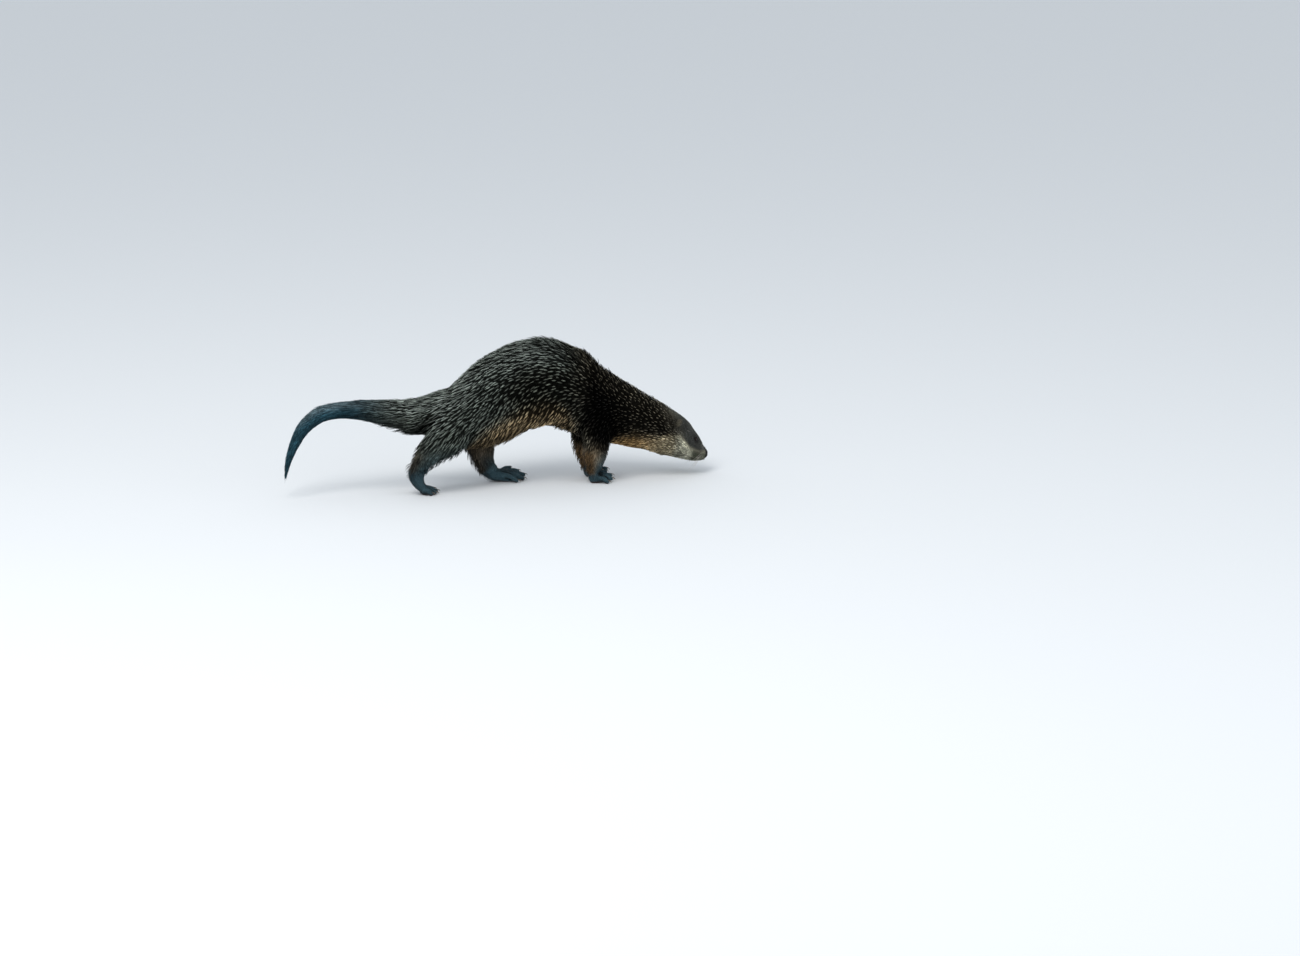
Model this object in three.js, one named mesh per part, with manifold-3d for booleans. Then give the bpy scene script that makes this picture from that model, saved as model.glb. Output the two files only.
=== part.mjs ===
// River otter (Lontra canadensis), an adult at life size. It lopes with a high arched back: both
// forepaws planted side by side, the left hind foot forward, the right one pushing off, the tail
// curved down behind and the nose close to the ground.
// Millimetres. +X runs towards the head, +Y to the animal's left and +Z up. All four feet stand on
// small flats at one level. Every solid reaches to the tips of the short coat.
import * as THREE from "three";
import { mergeVertices } from "three/addons/utils/BufferGeometryUtils.js";
import Module from "manifold-3d";

const wasm = await Module();
wasm.setup();

// ---- Driving dimensions ----
const GAP = 0.3; // clearance that touching nodes keep
const BACK_HEIGHT = 328; // the top of the arched back above the floor
const BELLY_HEIGHT = 127; // the underside of the arch above the floor
const BODY_HALF_WIDTH = 78; // half of the widest girth, behind the ribs
const HEAD_HALF_WIDTH = 49; // across the cheeks
const MUZZLE_HALF_WIDTH = 29; // across the muzzle in front of the eyes
const TAIL_ROOT_HALF_DEPTH = 39; // the thick root of the tail
const STANCE_FORE = 31; // each forepaw from the middle plane
const FOREPAW_REACH = 220; // the ball of the right forepaw ahead of the middle
const FOREPAW_LEAD = 7; // how far the left forepaw is ahead of the right one
const STANCE_HIND = 42; // each hind foot from the middle plane
const EYE_RADIUS = 6;
const CLAW_LENGTH = 5.5;

// The spine runs from the tip of the tail to the nose. Each place gives the middle of the body there
// (x, z), half the depth across the spine and half the width. "low" moves the widest level down.
const ARCH_MIDDLE = (BACK_HEIGHT + BELLY_HEIGHT) / 2;
const ARCH_HALF_DEPTH = (BACK_HEIGHT - BELLY_HEIGHT) / 2;
const SPINE = [
  { place: "tail_tip", x: -480, z: 44, deep: 2, wide: 2 },
  { place: "tail_point", x: -474, z: 78, deep: 6.3, wide: 7 },
  { place: "tail_fall", x: -459, z: 120, deep: 10.5, wide: 13 },
  { place: "tail_bend", x: -432, z: 163, deep: 15.5, wide: 19 },
  { place: "tail_turn", x: -393, z: 187, deep: 17.5, wide: 22 },
  { place: "tail_middle", x: -351, z: 192, deep: 18.5, wide: 25 },
  { place: "tail_swell", x: -301, z: 188, deep: 23, wide: 30 },
  { place: "tail_thick", x: -243, z: 178, deep: 31, wide: 38 },
  { place: "tail_root", x: -190, z: 169.5, deep: TAIL_ROOT_HALF_DEPTH, wide: 46 },
  { place: "hips", x: -140, z: 166, deep: 50, wide: 55 },
  { place: "rump", x: -90, z: 163, deep: 72, wide: 63, low: 0.05 },
  { place: "loin", x: -33, z: 181, deep: 91, wide: 70, low: 0.1 },
  { place: "waist", x: 24, z: 212, deep: ARCH_HALF_DEPTH - 3, wide: 75, low: 0.12 },
  { place: "back_top", x: 88, z: ARCH_MIDDLE, deep: ARCH_HALF_DEPTH, wide: BODY_HALF_WIDTH, low: 0.12 },
  { place: "ribs", x: 149, z: 213, deep: 91, wide: 76, low: 0.1 },
  { place: "shoulders", x: 191, z: 187, deep: 84, wide: 70, low: 0.06 },
  { place: "withers", x: 232, z: 164, deep: 79, wide: 65, low: 0.04 },
  { place: "neck_root", x: 272, z: 146.5, deep: 73, wide: 59 },
  { place: "neck", x: 312, z: 129, deep: 65, wide: 55 },
  { place: "nape", x: 348, z: 113.5, deep: 57.5, wide: 52 },
  { place: "ears", x: 378, z: 97.3, deep: 52.5, wide: 50, low: 0.05 },
  { place: "cheeks", x: 403, z: 83.5, deep: 47, wide: HEAD_HALF_WIDTH, low: 0.12 },
  { place: "brow", x: 424, z: 68.5, deep: 38, wide: 44, low: 0.2 },
  { place: "stop", x: 440, z: 57, deep: 31.4, wide: 36, low: 0.24 },
  { place: "muzzle", x: 454.5, z: 46.8, deep: 22.6, wide: MUZZLE_HALF_WIDTH, low: 0.2 },
  { place: "nose_root", x: 464.8, z: 41.3, deep: 16, wide: 21, low: 0.1 },
  { place: "nose", x: 472.5, z: 38.5, deep: 10.5, wide: 13 },
];

// ---- Closed solids from geometry, and back ----
function solid(geometry) {
  const bare = geometry.index ? geometry.toNonIndexed() : geometry.clone();
  bare.deleteAttribute("normal");
  bare.deleteAttribute("uv");
  const merged = mergeVertices(bare, 1e-3);
  return new wasm.Manifold(
    new wasm.Mesh({
      numProp: 3,
      vertProperties: merged.attributes.position.array,
      triVerts: new Uint32Array(merged.index.array),
    }),
  );
}

function geometryOf(shape) {
  const mesh = shape.getMesh();
  const positions = new Float32Array(mesh.numVert * 3);
  for (let i = 0; i < mesh.numVert; i++) {
    const start = i * mesh.numProp;
    positions.set(mesh.vertProperties.subarray(start, start + 3), i * 3);
  }
  const geometry = new THREE.BufferGeometry();
  geometry.setAttribute("position", new THREE.BufferAttribute(positions, 3));
  geometry.setIndex(new THREE.BufferAttribute(new Uint32Array(mesh.triVerts), 1));
  return geometry.toNonIndexed();
}

const largest = (shape) => shape.decompose().reduce((a, b) => (a.volume() > b.volume() ? a : b));
const joined = (shapes) => shapes.reduce((a, b) => a.add(b));
const cutBy = (shape, cutters) => largest(cutters.reduce((left, tool) => left.subtract(tool), shape));

const degrees = (angle) => (angle * Math.PI) / 180;
const SIDES = { left: 1, right: -1 };

function placed(geometry, position, rotation = [0, 0, 0]) {
  const turn = new THREE.Matrix4().makeRotationFromEuler(new THREE.Euler(...rotation));
  return geometry.applyMatrix4(turn).translate(...position);
}

function ellipsoid(position, halfSizes, rotation = [0, 0, 0], across = 12, down = 7) {
  const ball = new THREE.SphereGeometry(1, across, down).scale(...halfSizes);
  return solid(placed(ball, position, rotation));
}

// ---- A tract: a smooth run of oval rings through a few measured places ----
const NEARBY = 0.5; // how far to each side a tract's direction is taken
const KEYS = ["x", "y", "z", "deep", "wide", "low"];

function tract(places) {
  const reach = [0];
  for (let i = 1; i < places.length; i++) {
    const [a, b] = [places[i - 1], places[i]];
    const stride = Math.hypot(b.x - a.x, (b.y ?? 0) - (a.y ?? 0), b.z - a.z);
    reach.push(reach[i - 1] + stride);
  }
  const numbers = places.flatMap((place) => KEYS.map((key) => place[key] ?? 0));
  const curve = new THREE.CubicInterpolant(reach, numbers, KEYS.length);
  const length = reach.at(-1);
  const at = (s) => Array.from(curve.evaluate(THREE.MathUtils.clamp(s, 0, length)));
  const middle = (s) => new THREE.Vector3(...at(s).slice(0, 3));
  const frame = (s) => {
    const ahead = middle(s + NEARBY).sub(middle(s - NEARBY)).normalize();
    const side = new THREE.Vector3(0, 1, 0).addScaledVector(ahead, -ahead.y).normalize();
    return { ahead, side, up: ahead.clone().cross(side) };
  };
  const reachOf = Object.fromEntries(places.map((place, i) => [place.place ?? i, reach[i]]));
  return { at, middle, frame, length, reachOf };
}

// The surface of a tract at reach s and angle a, counted from the animal's left side upwards.
function surfacePoint(run, s, a, grow = 0, shrink = 1, forward = 0) {
  const [, , , deep, wide, low] = run.at(s);
  const { ahead, side, up } = run.frame(s);
  const height = Math.sin(a);
  const across = (wide * (1 - low * height) + grow) * shrink * Math.cos(a);
  return run
    .middle(s)
    .addScaledVector(ahead, forward)
    .addScaledVector(side, across)
    .addScaledVector(up, (deep + grow) * shrink * height);
}

// Joins rings of points and a point past each end into one closed surface.
function skinOf(rings, start, end) {
  const points = [];
  const triangle = (a, b, c) => points.push(...a, ...b, ...c);
  const last = rings.length - 1;
  const sides = rings[0].length;
  for (let j = 0; j < sides; j++) {
    const k = (j + 1) % sides;
    triangle(start, rings[0][k], rings[0][j]);
    triangle(end, rings[last][j], rings[last][k]);
    for (let i = 0; i < last; i++) {
      triangle(rings[i][j], rings[i][k], rings[i + 1][k]);
      triangle(rings[i][j], rings[i + 1][k], rings[i + 1][j]);
    }
  }
  const geometry = new THREE.BufferGeometry();
  geometry.setAttribute("position", new THREE.Float32BufferAttribute(points, 3));
  return solid(geometry);
}

// A solid along a tract. Its ends are flat, or rounded where a dome's length is given. "inset" pulls
// both ends in along the tract and "leans" are the steps of a dome.
const SMALL_DOME = [degrees(48)];
const LARGE_DOME = [degrees(28), degrees(58)];

function sleeve(run, shape) {
  const { from = 0, to = run.length, step = 12, sides = 20, grow = 0, inset = 0 } = shape;
  const { startDome = 0, endDome = 0, leans = LARGE_DOME } = shape;
  const ring = (s, shrink = 1, forward = 0) =>
    Array.from({ length: sides }, (_, j) =>
      surfacePoint(run, s, (2 * Math.PI * j) / sides, grow, shrink, forward),
    );
  const dome = (s, size, sign) =>
    leans.map((lean) => ring(s, Math.cos(lean), sign * (size + grow) * Math.sin(lean)));
  const count = Math.max(2, Math.round((to - from) / step));
  const rings = [ring(from, 1, inset)];
  for (let i = 1; i < count; i++) rings.push(ring(from + ((to - from) * i) / count));
  rings.push(ring(to, 1, -inset));
  if (startDome) rings.unshift(...dome(from, startDome, -1).reverse());
  if (endDome) rings.push(...dome(to, endDome, 1));
  const past = (s, size, sign) => {
    const reach = size ? sign * (size + grow) : -sign * inset;
    return run.middle(s).addScaledVector(run.frame(s).ahead, reach);
  };
  return skinOf(rings, past(from, startDome, -1), past(to, endDome, 1));
}

// ---- The body, in lengths of the spine ----
const spine = tract(SPINE);
const HEAD_MESH = { step: 8.5, sides: 28 };
const LENGTHS = {
  tail_tip: { from: "tail_tip", to: "tail_turn", step: 16, sides: 14 },
  tail_middle: { from: "tail_turn", to: "tail_swell", step: 20, sides: 18 },
  tail_base: { from: "tail_swell", to: "tail_root", step: 20, sides: 20 },
  rump: { from: "tail_root", to: "loin", step: 19, sides: 24 },
  loin: { from: "loin", to: "back_top", step: 20, sides: 24 },
  chest: { from: "back_top", to: "neck_root", step: 19, sides: 24 },
  neck: { from: "neck_root", to: "ears", step: 18, sides: 24 },
  head: { from: "ears", to: "nose", ...HEAD_MESH },
};
const body = {};
for (const [name, { from, to, step, sides }] of Object.entries(LENGTHS)) {
  const ends = { from: spine.reachOf[from], to: spine.reachOf[to], inset: GAP / 2 };
  body[name] = sleeve(spine, { ...ends, step, sides });
}

// ---- Legs ----
// Each is one tract from inside the trunk to the ball of the foot. The leg node ends at the place
// "wrist", "hock" or "ankle", and the foot node starts there.
const foreleg = (lead) => [
  { place: "shoulder", x: 212, y: 42, z: 168, deep: 38, wide: 24 },
  { place: "upper_arm", x: 212, y: 49, z: 128, deep: 37.5, wide: 27 },
  { place: "elbow", x: 208, y: 47, z: 88, deep: 31, wide: 24 },
  { place: "forearm", x: 206 + lead / 4, y: 40, z: 54, deep: 23.5, wide: 19.5 },
  { place: "wrist", x: 205 + lead, y: STANCE_FORE + 2, z: 27, deep: 16, wide: 15 },
  { place: "heel", x: 208 + lead, y: STANCE_FORE + 1, z: 15.5, deep: 13.5, wide: 15 },
];
const HINDLEG_PUSHING = [
  { place: "hip", x: -92, y: 40, z: 166, deep: 46, wide: 24 },
  { place: "thigh", x: -130, y: 51, z: 130, deep: 47, wide: 27 },
  { place: "knee", x: -165, y: 51, z: 101, deep: 33.5, wide: 24 },
  { place: "shank", x: -184.5, y: 46, z: 79, deep: 24, wide: 19 },
  { place: "hock", x: -196.5, y: STANCE_HIND - 2, z: 56, deep: 19, wide: 15 },
  { place: "instep", x: -197, y: STANCE_HIND - 6, z: 40, deep: 16.5, wide: 14 },
  { place: "metatarsals", x: -192.5, y: STANCE_HIND - 9, z: 27, deep: 13, wide: 15 },
  { place: "ball", x: -184, y: STANCE_HIND - 11, z: 15.5, deep: 10.5, wide: 16.5 },
];
const HINDLEG_PLANTED = [
  { place: "hip", x: -78, y: 42, z: 162, deep: 42, wide: 24 },
  { place: "thigh", x: -48, y: 54, z: 122, deep: 46, wide: 27 },
  { place: "knee", x: -30, y: 55, z: 86, deep: 36, wide: 24 },
  { place: "shank", x: -26, y: 50, z: 54, deep: 26, wide: 19 },
  { place: "ankle", x: -17, y: STANCE_HIND + 4, z: 32, deep: 20.5, wide: 16 },
  { place: "heel", x: -5, y: STANCE_HIND + 3, z: 21, deep: 16, wide: 15.5 },
];
const mirrored = (places, side) => places.map((p) => ({ ...p, y: side * p.y }));
const LEGS = {
  foreleg_left: { places: mirrored(foreleg(FOREPAW_LEAD), SIDES.left), end: "wrist" },
  foreleg_right: { places: mirrored(foreleg(0), SIDES.right), end: "wrist" },
  hindleg_left: { places: mirrored(HINDLEG_PLANTED, SIDES.left), end: "ankle" },
  hindleg_right: { places: mirrored(HINDLEG_PUSHING, SIDES.right), end: "hock" },
};
const LEG_SIDES = 16;
const LEG_STEP = 16;
const HIP_DOME = 22;
const legs = {};
const legSpaces = {};
for (const [name, { places, end }] of Object.entries(LEGS)) {
  const run = tract(places);
  const shape = { step: LEG_STEP, sides: LEG_SIDES, startDome: HIP_DOME };
  legs[name] = sleeve(run, { ...shape, to: run.reachOf[end], inset: GAP / 2 });
  legSpaces[name] = sleeve(run, { ...shape, to: run.reachOf[end], inset: -GAP / 2, grow: GAP });
  for (const part of ["rump", "loin", "chest", "neck"]) body[part] = cutBy(body[part], [legSpaces[name]]);
}

// ---- Feet ----
const FLOOR_SIZE = 400;
const FLOOR_DEPTH = 60;
const floorBox = solid(
  new THREE.BoxGeometry(FLOOR_SIZE * 2, FLOOR_SIZE, FLOOR_DEPTH).translate(0, 0, -FLOOR_DEPTH / 2),
);

// Toes from the inner to the outer one: root beside the ball of the foot, way out (degrees), length
// and how high the tip is held. "rise" is how high the knuckles stand above the sole.
const FORE_TOES = {
  radius: 5.3,
  rise: 12,
  fan: [
    { x: -7, y: -15, way: -38, length: 13, held: 14 },
    { x: 1, y: -9.5, way: -18, length: 18, held: 14 },
    { x: 4, y: 0, way: 0, length: 20, held: 9 },
    { x: 2, y: 9.5, way: 17, length: 18, held: 4.5 },
    { x: -4, y: 15, way: 34, length: 14, held: 0 },
  ],
};
const SPREAD_TOES = {
  radius: 5.3,
  rise: 15,
  fan: [
    { x: -9, y: -17, way: -28, length: 26, held: 0 },
    { x: -1, y: -10, way: -12, length: 35, held: 1 },
    { x: 3, y: 0, way: 3, length: 39, held: 4.5 },
    { x: 1, y: 11, way: 19, length: 37, held: 9 },
    { x: -5, y: 18, way: 33, length: 32, held: 15 },
  ],
};
const CURLED_TOES = {
  radius: 5.1,
  rise: 11.5,
  fan: [
    { x: -5, y: -15, way: -20, length: 15, held: 6 },
    { x: 0, y: -9, way: -9, length: 20, held: 4 },
    { x: 2, y: 0, way: 0, length: 22, held: 1.5 },
    { x: 1, y: 9, way: 10, length: 17, held: 0 },
    { x: -4, y: 15, way: 20, length: 13, held: 0 },
  ],
};
// A toe from its root to its tip: how far along, the height as a share of the rise (lift) or of the
// toe's radius (drop), and the thickness as a share of the radius.
const KNUCKLES = [
  { along: -0.25, lift: 1, drop: 0, thick: 1.05 },
  { along: 0.2, lift: 1.1, drop: 0, thick: 1 },
  { along: 0.6, lift: 0.82, drop: 0, thick: 0.95 },
  { along: 1, lift: 0, drop: 0.8, thick: 0.92 },
];
const TOE_BREADTH = 1.05; // a toe's width as a share of its depth
const TOE_ROOT_DOME = 3;
const TOE_MESH = { step: 12, sides: 7, leans: SMALL_DOME };
// The web between two toes: where it starts and ends along them, and how far its edge sags back.
const WEB = { from: -0.2, to: 0.8, sag: 0.4, thick: 1.8, height: 2.4, segments: 3 };

const alongToe = ({ base, way, length }, t, past = 0) => [
  base[0] + Math.cos(way) * (length * t + past),
  base[1] + Math.sin(way) * (length * t + past),
];

const tipOf = (digit) => digit.radius * KNUCKLES.at(-1).thick;

function toeSleeve(digit, grow = 0) {
  const { radius, rise, held } = digit;
  const places = KNUCKLES.map(({ along, lift, drop, thick }) => {
    const [x, y] = alongToe(digit, along);
    const deep = radius * thick;
    const z = rise * lift + radius * drop + held * Math.max(along, 0);
    return { x, y, z, deep, wide: deep * TOE_BREADTH };
  });
  const ends = { startDome: TOE_ROOT_DOME, endDome: tipOf(digit) };
  return sleeve(tract(places), { ...TOE_MESH, ...ends, grow });
}

function webBetween(a, b) {
  const [sagA, sagB] = [alongToe(a, WEB.sag), alongToe(b, WEB.sag)];
  const outline = new THREE.Shape()
    .moveTo(...alongToe(a, WEB.from))
    .lineTo(...alongToe(a, WEB.to))
    .quadraticCurveTo((sagA[0] + sagB[0]) / 2, (sagA[1] + sagB[1]) / 2, ...alongToe(b, WEB.to))
    .lineTo(...alongToe(b, WEB.from));
  const flat = { depth: WEB.thick, bevelEnabled: false, curveSegments: WEB.segments };
  const height = WEB.height + Math.min(a.held, b.held);
  return solid(new THREE.ExtrudeGeometry(outline, flat).translate(0, 0, height));
}

// A claw from inside the toe's tip to its point: how far past the toe in claw lengths, the height as
// a share of the toe's radius, and half of its width.
const CLAW_PLACES = [
  { past: 0, high: 1.05, wide: 1.8 },
  { past: 0.45, high: 1.05, wide: 1.35 },
  { past: 1, high: 0.4, wide: 0.4 },
];
const CLAW_DEPTH = 1.2; // a claw's depth as a share of its width
const CLAW_MESH = { step: 6, sides: 5 };

function clawOn(digit) {
  const places = CLAW_PLACES.map(({ past, high, wide }) => {
    const [x, y] = alongToe(digit, 1, past && tipOf(digit) + CLAW_LENGTH * past);
    return { x, y, z: digit.radius * high + digit.held, deep: wide * CLAW_DEPTH, wide };
  });
  return cutBy(sleeve(tract(places), CLAW_MESH), [toeSleeve(digit, GAP)]);
}

// Soles, from the heel to the ball of the foot, which is their own x = 0.
const FORE_SOLE = [
  { x: -18, y: 0, z: 9.5, deep: 10.5, wide: 13 },
  { x: -9, y: 0, z: 10.5, deep: 11.5, wide: 16 },
  { x: 0, y: 0, z: 9.5, deep: 10, wide: 17.5 },
];
const PLANTED_SOLE = [
  { x: -38, y: 0, z: 18, deep: 11, wide: 13 },
  { x: -20, y: 0, z: 15, deep: 15, wide: 17 },
  { x: 0, y: 0, z: 12, deep: 13, wide: 21 },
];
const PUSHING_SOLE = [
  { x: -5, y: 0, z: 10.5, deep: 10.5, wide: 16 },
  { x: 2, y: 0, z: 9.5, deep: 10.5, wide: 18 },
];
// Each foot: where its ball stands and which way it points (degrees to the animal's left).
const FEET = {
  forepaw_left: {
    leg: "foreleg_left",
    side: SIDES.left,
    toes: FORE_TOES,
    sole: FORE_SOLE,
    ball: [FOREPAW_REACH + FOREPAW_LEAD, STANCE_FORE],
    heading: 0,
  },
  forepaw_right: {
    leg: "foreleg_right",
    side: SIDES.right,
    toes: FORE_TOES,
    sole: FORE_SOLE,
    ball: [FOREPAW_REACH, -STANCE_FORE],
    heading: 5,
  },
  hindfoot_left: {
    leg: "hindleg_left",
    side: SIDES.left,
    toes: SPREAD_TOES,
    sole: PLANTED_SOLE,
    ball: [25, STANCE_HIND + 3],
    heading: 5,
  },
  hindfoot_right: {
    leg: "hindleg_right",
    side: SIDES.right,
    toes: CURLED_TOES,
    sole: PUSHING_SOLE,
    ball: [-177, -STANCE_HIND + 12],
    heading: 0,
  },
};

const FOOT_STEP = 10;
const SOLE_MESH = { step: 11, sides: 14, startDome: 7, endDome: 7 };
const feet = {};
const claws = {};
for (const [name, { leg, side, toes, ball, heading, sole }] of Object.entries(FEET)) {
  const atBall = (shape) => {
    const geometry = placed(geometryOf(shape), [ball[0], ball[1], 0], [0, 0, degrees(heading)]);
    return solid(geometry);
  };
  const digits = toes.fan.map(({ x, y, way, length, held }) => ({
    base: [x, side * y],
    way: side * degrees(way),
    length,
    held,
    radius: toes.radius,
    rise: toes.rise,
  }));
  const webs = digits.slice(1).map((digit, i) => {
    const pair = side > 0 ? [digits[i], digit] : [digit, digits[i]];
    return webBetween(...pair);
  });
  const { places, end } = LEGS[leg];
  const shank = tract(places);
  const parts = [
    sleeve(shank, { from: shank.reachOf[end], inset: GAP / 2, step: FOOT_STEP, sides: LEG_SIDES }),
    atBall(sleeve(tract(sole), SOLE_MESH)),
    ...digits.map((digit) => atBall(toeSleeve(digit))),
    ...webs.map(atBall),
  ];
  feet[name] = cutBy(joined(parts), [floorBox, legSpaces[leg]]);
  digits.forEach((digit, i) => {
    claws[`claw_${name}_${i + 1}`] = atBall(clawOn(digit));
  });
}

// ---- The head: muzzle, jaw, nose pad, eyes, lids and ears ----
// A place on the surface of the spine's tract, with the outward way and the way forward there.
const NEARBY_ANGLE = 0.02;
function seat(s, a) {
  const at = (ds, da) => surfacePoint(spine, s + ds, a + da);
  const point = at(0, 0);
  const round = at(0, NEARBY_ANGLE).sub(at(0, -NEARBY_ANGLE));
  const forward = at(NEARBY, 0).sub(at(-NEARBY, 0)).normalize();
  const out = round.cross(forward).normalize();
  return { point, out, forward, across: out.clone().cross(forward) };
}

function onSeat(geometry, { point, out, forward, across }, lift = 0) {
  const basis = new THREE.Matrix4().makeBasis(forward, across, out);
  return geometry.applyMatrix4(basis).translate(...point.clone().addScaledVector(out, lift));
}

const atSide = (angle, side) => (side > 0 ? degrees(angle) : Math.PI - degrees(angle));
const HEAD_PITCH = degrees(33);

const WHISKER_PAD = { x: 455.5, y: 14, z: 41.5, half: [14.5, 13.5, 11] };
const CHIN = { x: 449, z: 34, half: [17, 17, 7.5], pitch: 0.1 };
const whiskerPads = Object.values(SIDES).map((side) =>
  ellipsoid([WHISKER_PAD.x, side * WHISKER_PAD.y, WHISKER_PAD.z], WHISKER_PAD.half, [0, HEAD_PITCH, 0]),
);
const chin = ellipsoid([CHIN.x, 0, CHIN.z], CHIN.half, [0, CHIN.pitch, 0]);

// The line of the mouth from its corner under the eye to the front of the muzzle, as [x, z].
const MOUTH_LINE = [
  [424, 43.5],
  [436, 38.5],
  [448, 35],
  [460, 33],
  [474, 32.2],
];
const MOUTH_OPEN = 0.9;
const MOUTH_CORNER_LENGTH = 8;
const PAST_NOSE = 500;
const jawSpace = (rise) => {
  const [corner, ...line] = MOUTH_LINE;
  const outline = new THREE.Shape()
    .moveTo(corner[0] - MOUTH_CORNER_LENGTH - rise / 2, 0)
    .lineTo(corner[0] - rise / 2, corner[1] + rise);
  for (const [x, z] of line) outline.lineTo(x, z + rise);
  outline.lineTo(PAST_NOSE, line.at(-1)[1] + rise).lineTo(PAST_NOSE, 0);
  const depth = 4 * HEAD_HALF_WIDTH;
  const block = new THREE.ExtrudeGeometry(outline, { depth, bevelEnabled: false });
  return solid(block.rotateX(Math.PI / 2).translate(0, depth / 2, 0));
};

// Lips: a low ridge over the mouth line on each side, from near the front back to the corner.
const LIP_PLACES = [
  ["brow", -34],
  ["stop", -33],
  ["muzzle", -31],
  ["nose_root", -27],
];
const LIP_RADIUS = 2.1;
const LIP_MESH = { step: 9, sides: 6, startDome: 2.5, endDome: 2.5, leans: SMALL_DOME };
const lips = Object.values(SIDES).map((side) => {
  const places = LIP_PLACES.map(([place, angle]) => {
    const { x, y, z } = surfacePoint(spine, spine.reachOf[place], atSide(angle, side));
    return { x, y, z, deep: LIP_RADIUS, wide: LIP_RADIUS };
  });
  return sleeve(tract(places), LIP_MESH);
});

const EYE = { before: "stop", back: 10, angle: 38, sunk: 3.8 };
const EYE_MESH = [12, 9];
const LID = { inside: 0.2, thick: 1.5, stretch: [1.14, 0.86, 1], lift: -1, mesh: [5, 14] };
const EAR = { place: "ears", ahead: 6, angle: 35, half: [5.5, 10, 12.5], lift: 4 };
const EAR_WALL = 2.4;
const EAR_CUP = { out: 4.3, up: 0.6, mesh: [11, 7] }; // the hollow of the ear, from the middle of its shell
const EAR_MESH = [14, 9];
const eyes = {};
const ears = {};
const lids = [];
const sockets = [];
for (const [name, side] of Object.entries(SIDES)) {
  const eyeSeat = seat(spine.reachOf[EYE.before] - EYE.back, atSide(EYE.angle, side));
  const ball = (radius) => solid(onSeat(new THREE.SphereGeometry(radius, ...EYE_MESH), eyeSeat, -EYE.sunk));
  eyes[`eye_${name}`] = ball(EYE_RADIUS);
  sockets.push(ball(EYE_RADIUS + GAP));
  const rim = new THREE.TorusGeometry(EYE_RADIUS - LID.inside, LID.thick, ...LID.mesh).scale(...LID.stretch);
  lids.push(solid(onSeat(rim, eyeSeat, LID.lift)));
  const earSeat = seat(spine.reachOf[EAR.place] + EAR.ahead, atSide(EAR.angle, side));
  const [thick, broad, high] = EAR.half;
  const shell = new THREE.SphereGeometry(1, ...EAR_MESH).scale(thick, broad, high);
  const cup = new THREE.SphereGeometry(1, ...EAR_CUP.mesh);
  cup.scale(thick, broad - EAR_WALL, high - EAR_WALL).translate(EAR_CUP.out, 0, 0);
  const hollow = solid(onSeat(cup, earSeat, EAR.lift + EAR_CUP.up));
  ears[`ear_${name}`] = solid(onSeat(shell, earSeat, EAR.lift)).subtract(hollow);
}

// The nose pad is a broad bare cap on the end of the muzzle, with two nostrils.
const NOSE = { x: 469.8, z: 42.2, half: [10, 12.5, 11], tilt: -0.3, mesh: [16, 9] };
const NOSTRIL = { ahead: 8.5, apart: 5.8, drop: 1, half: [4.2, 2.4, 3.1], splay: 0.5, mesh: [7, 5] };
const noseTurn = [0, NOSE.tilt, 0];
const noseShape = (grow) =>
  ellipsoid([NOSE.x, 0, NOSE.z], NOSE.half.map((h) => h + grow), noseTurn, ...NOSE.mesh);
const nostrils = Object.values(SIDES).map((side) => {
  const { ahead, apart, drop, half, splay, mesh } = NOSTRIL;
  const offset = new THREE.Vector3(ahead, side * apart, -drop);
  offset.applyEuler(new THREE.Euler(...noseTurn));
  const middle = [NOSE.x + offset.x, offset.y, NOSE.z + offset.z];
  return ellipsoid(middle, half, [0, NOSE.tilt, side * splay], ...mesh);
});
const nosePad = cutBy(noseShape(0), nostrils);

const noseSpace = noseShape(GAP);
const wholeHead = cutBy(joined([body.head, ...whiskerPads, chin, ...lips, ...lids]), sockets);
const lowerJaw = cutBy(wholeHead.intersect(jawSpace(0)), [noseSpace]);
body.head = cutBy(wholeHead, [jawSpace(MOUTH_OPEN), noseSpace]);
const headEnds = { from: spine.reachOf.nape, to: spine.reachOf.brow };
const headSpace = sleeve(spine, { ...headEnds, ...HEAD_MESH, grow: GAP });
for (const name of Object.keys(ears)) ears[name] = cutBy(ears[name], [headSpace]);

// ---- The scene graph: one named mesh for each sub-part ----
const coat = (color, roughness) => ({ color, roughness, metalness: 0 });
const FINISHES = {
  coat_dark: coat(0x2e2620, 0.7),
  coat_warm: coat(0x4a3a2c, 0.75),
  coat_pale: coat(0x9a8f80, 0.75),
  tail_coat: coat(0x2c2c2f, 0.55),
  foot_skin: coat(0x35302c, 0.6),
  nose_skin: coat(0x141416, 0.4),
  eye_dark: coat(0x0b0806, 0.08),
  claw_horn: coat(0x6b5a48, 0.45),
};
const finishOf = (name) => {
  if (name.startsWith("tail")) return "tail_coat";
  if (name.startsWith("claw")) return "claw_horn";
  if (name.startsWith("eye")) return "eye_dark";
  if (name.startsWith("nose")) return "nose_skin";
  if (name.startsWith("forepaw") || name.startsWith("hindfoot")) return "foot_skin";
  if (name === "lower_jaw") return "coat_pale";
  if (name.includes("leg")) return "coat_warm";
  return "coat_dark";
};

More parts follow.
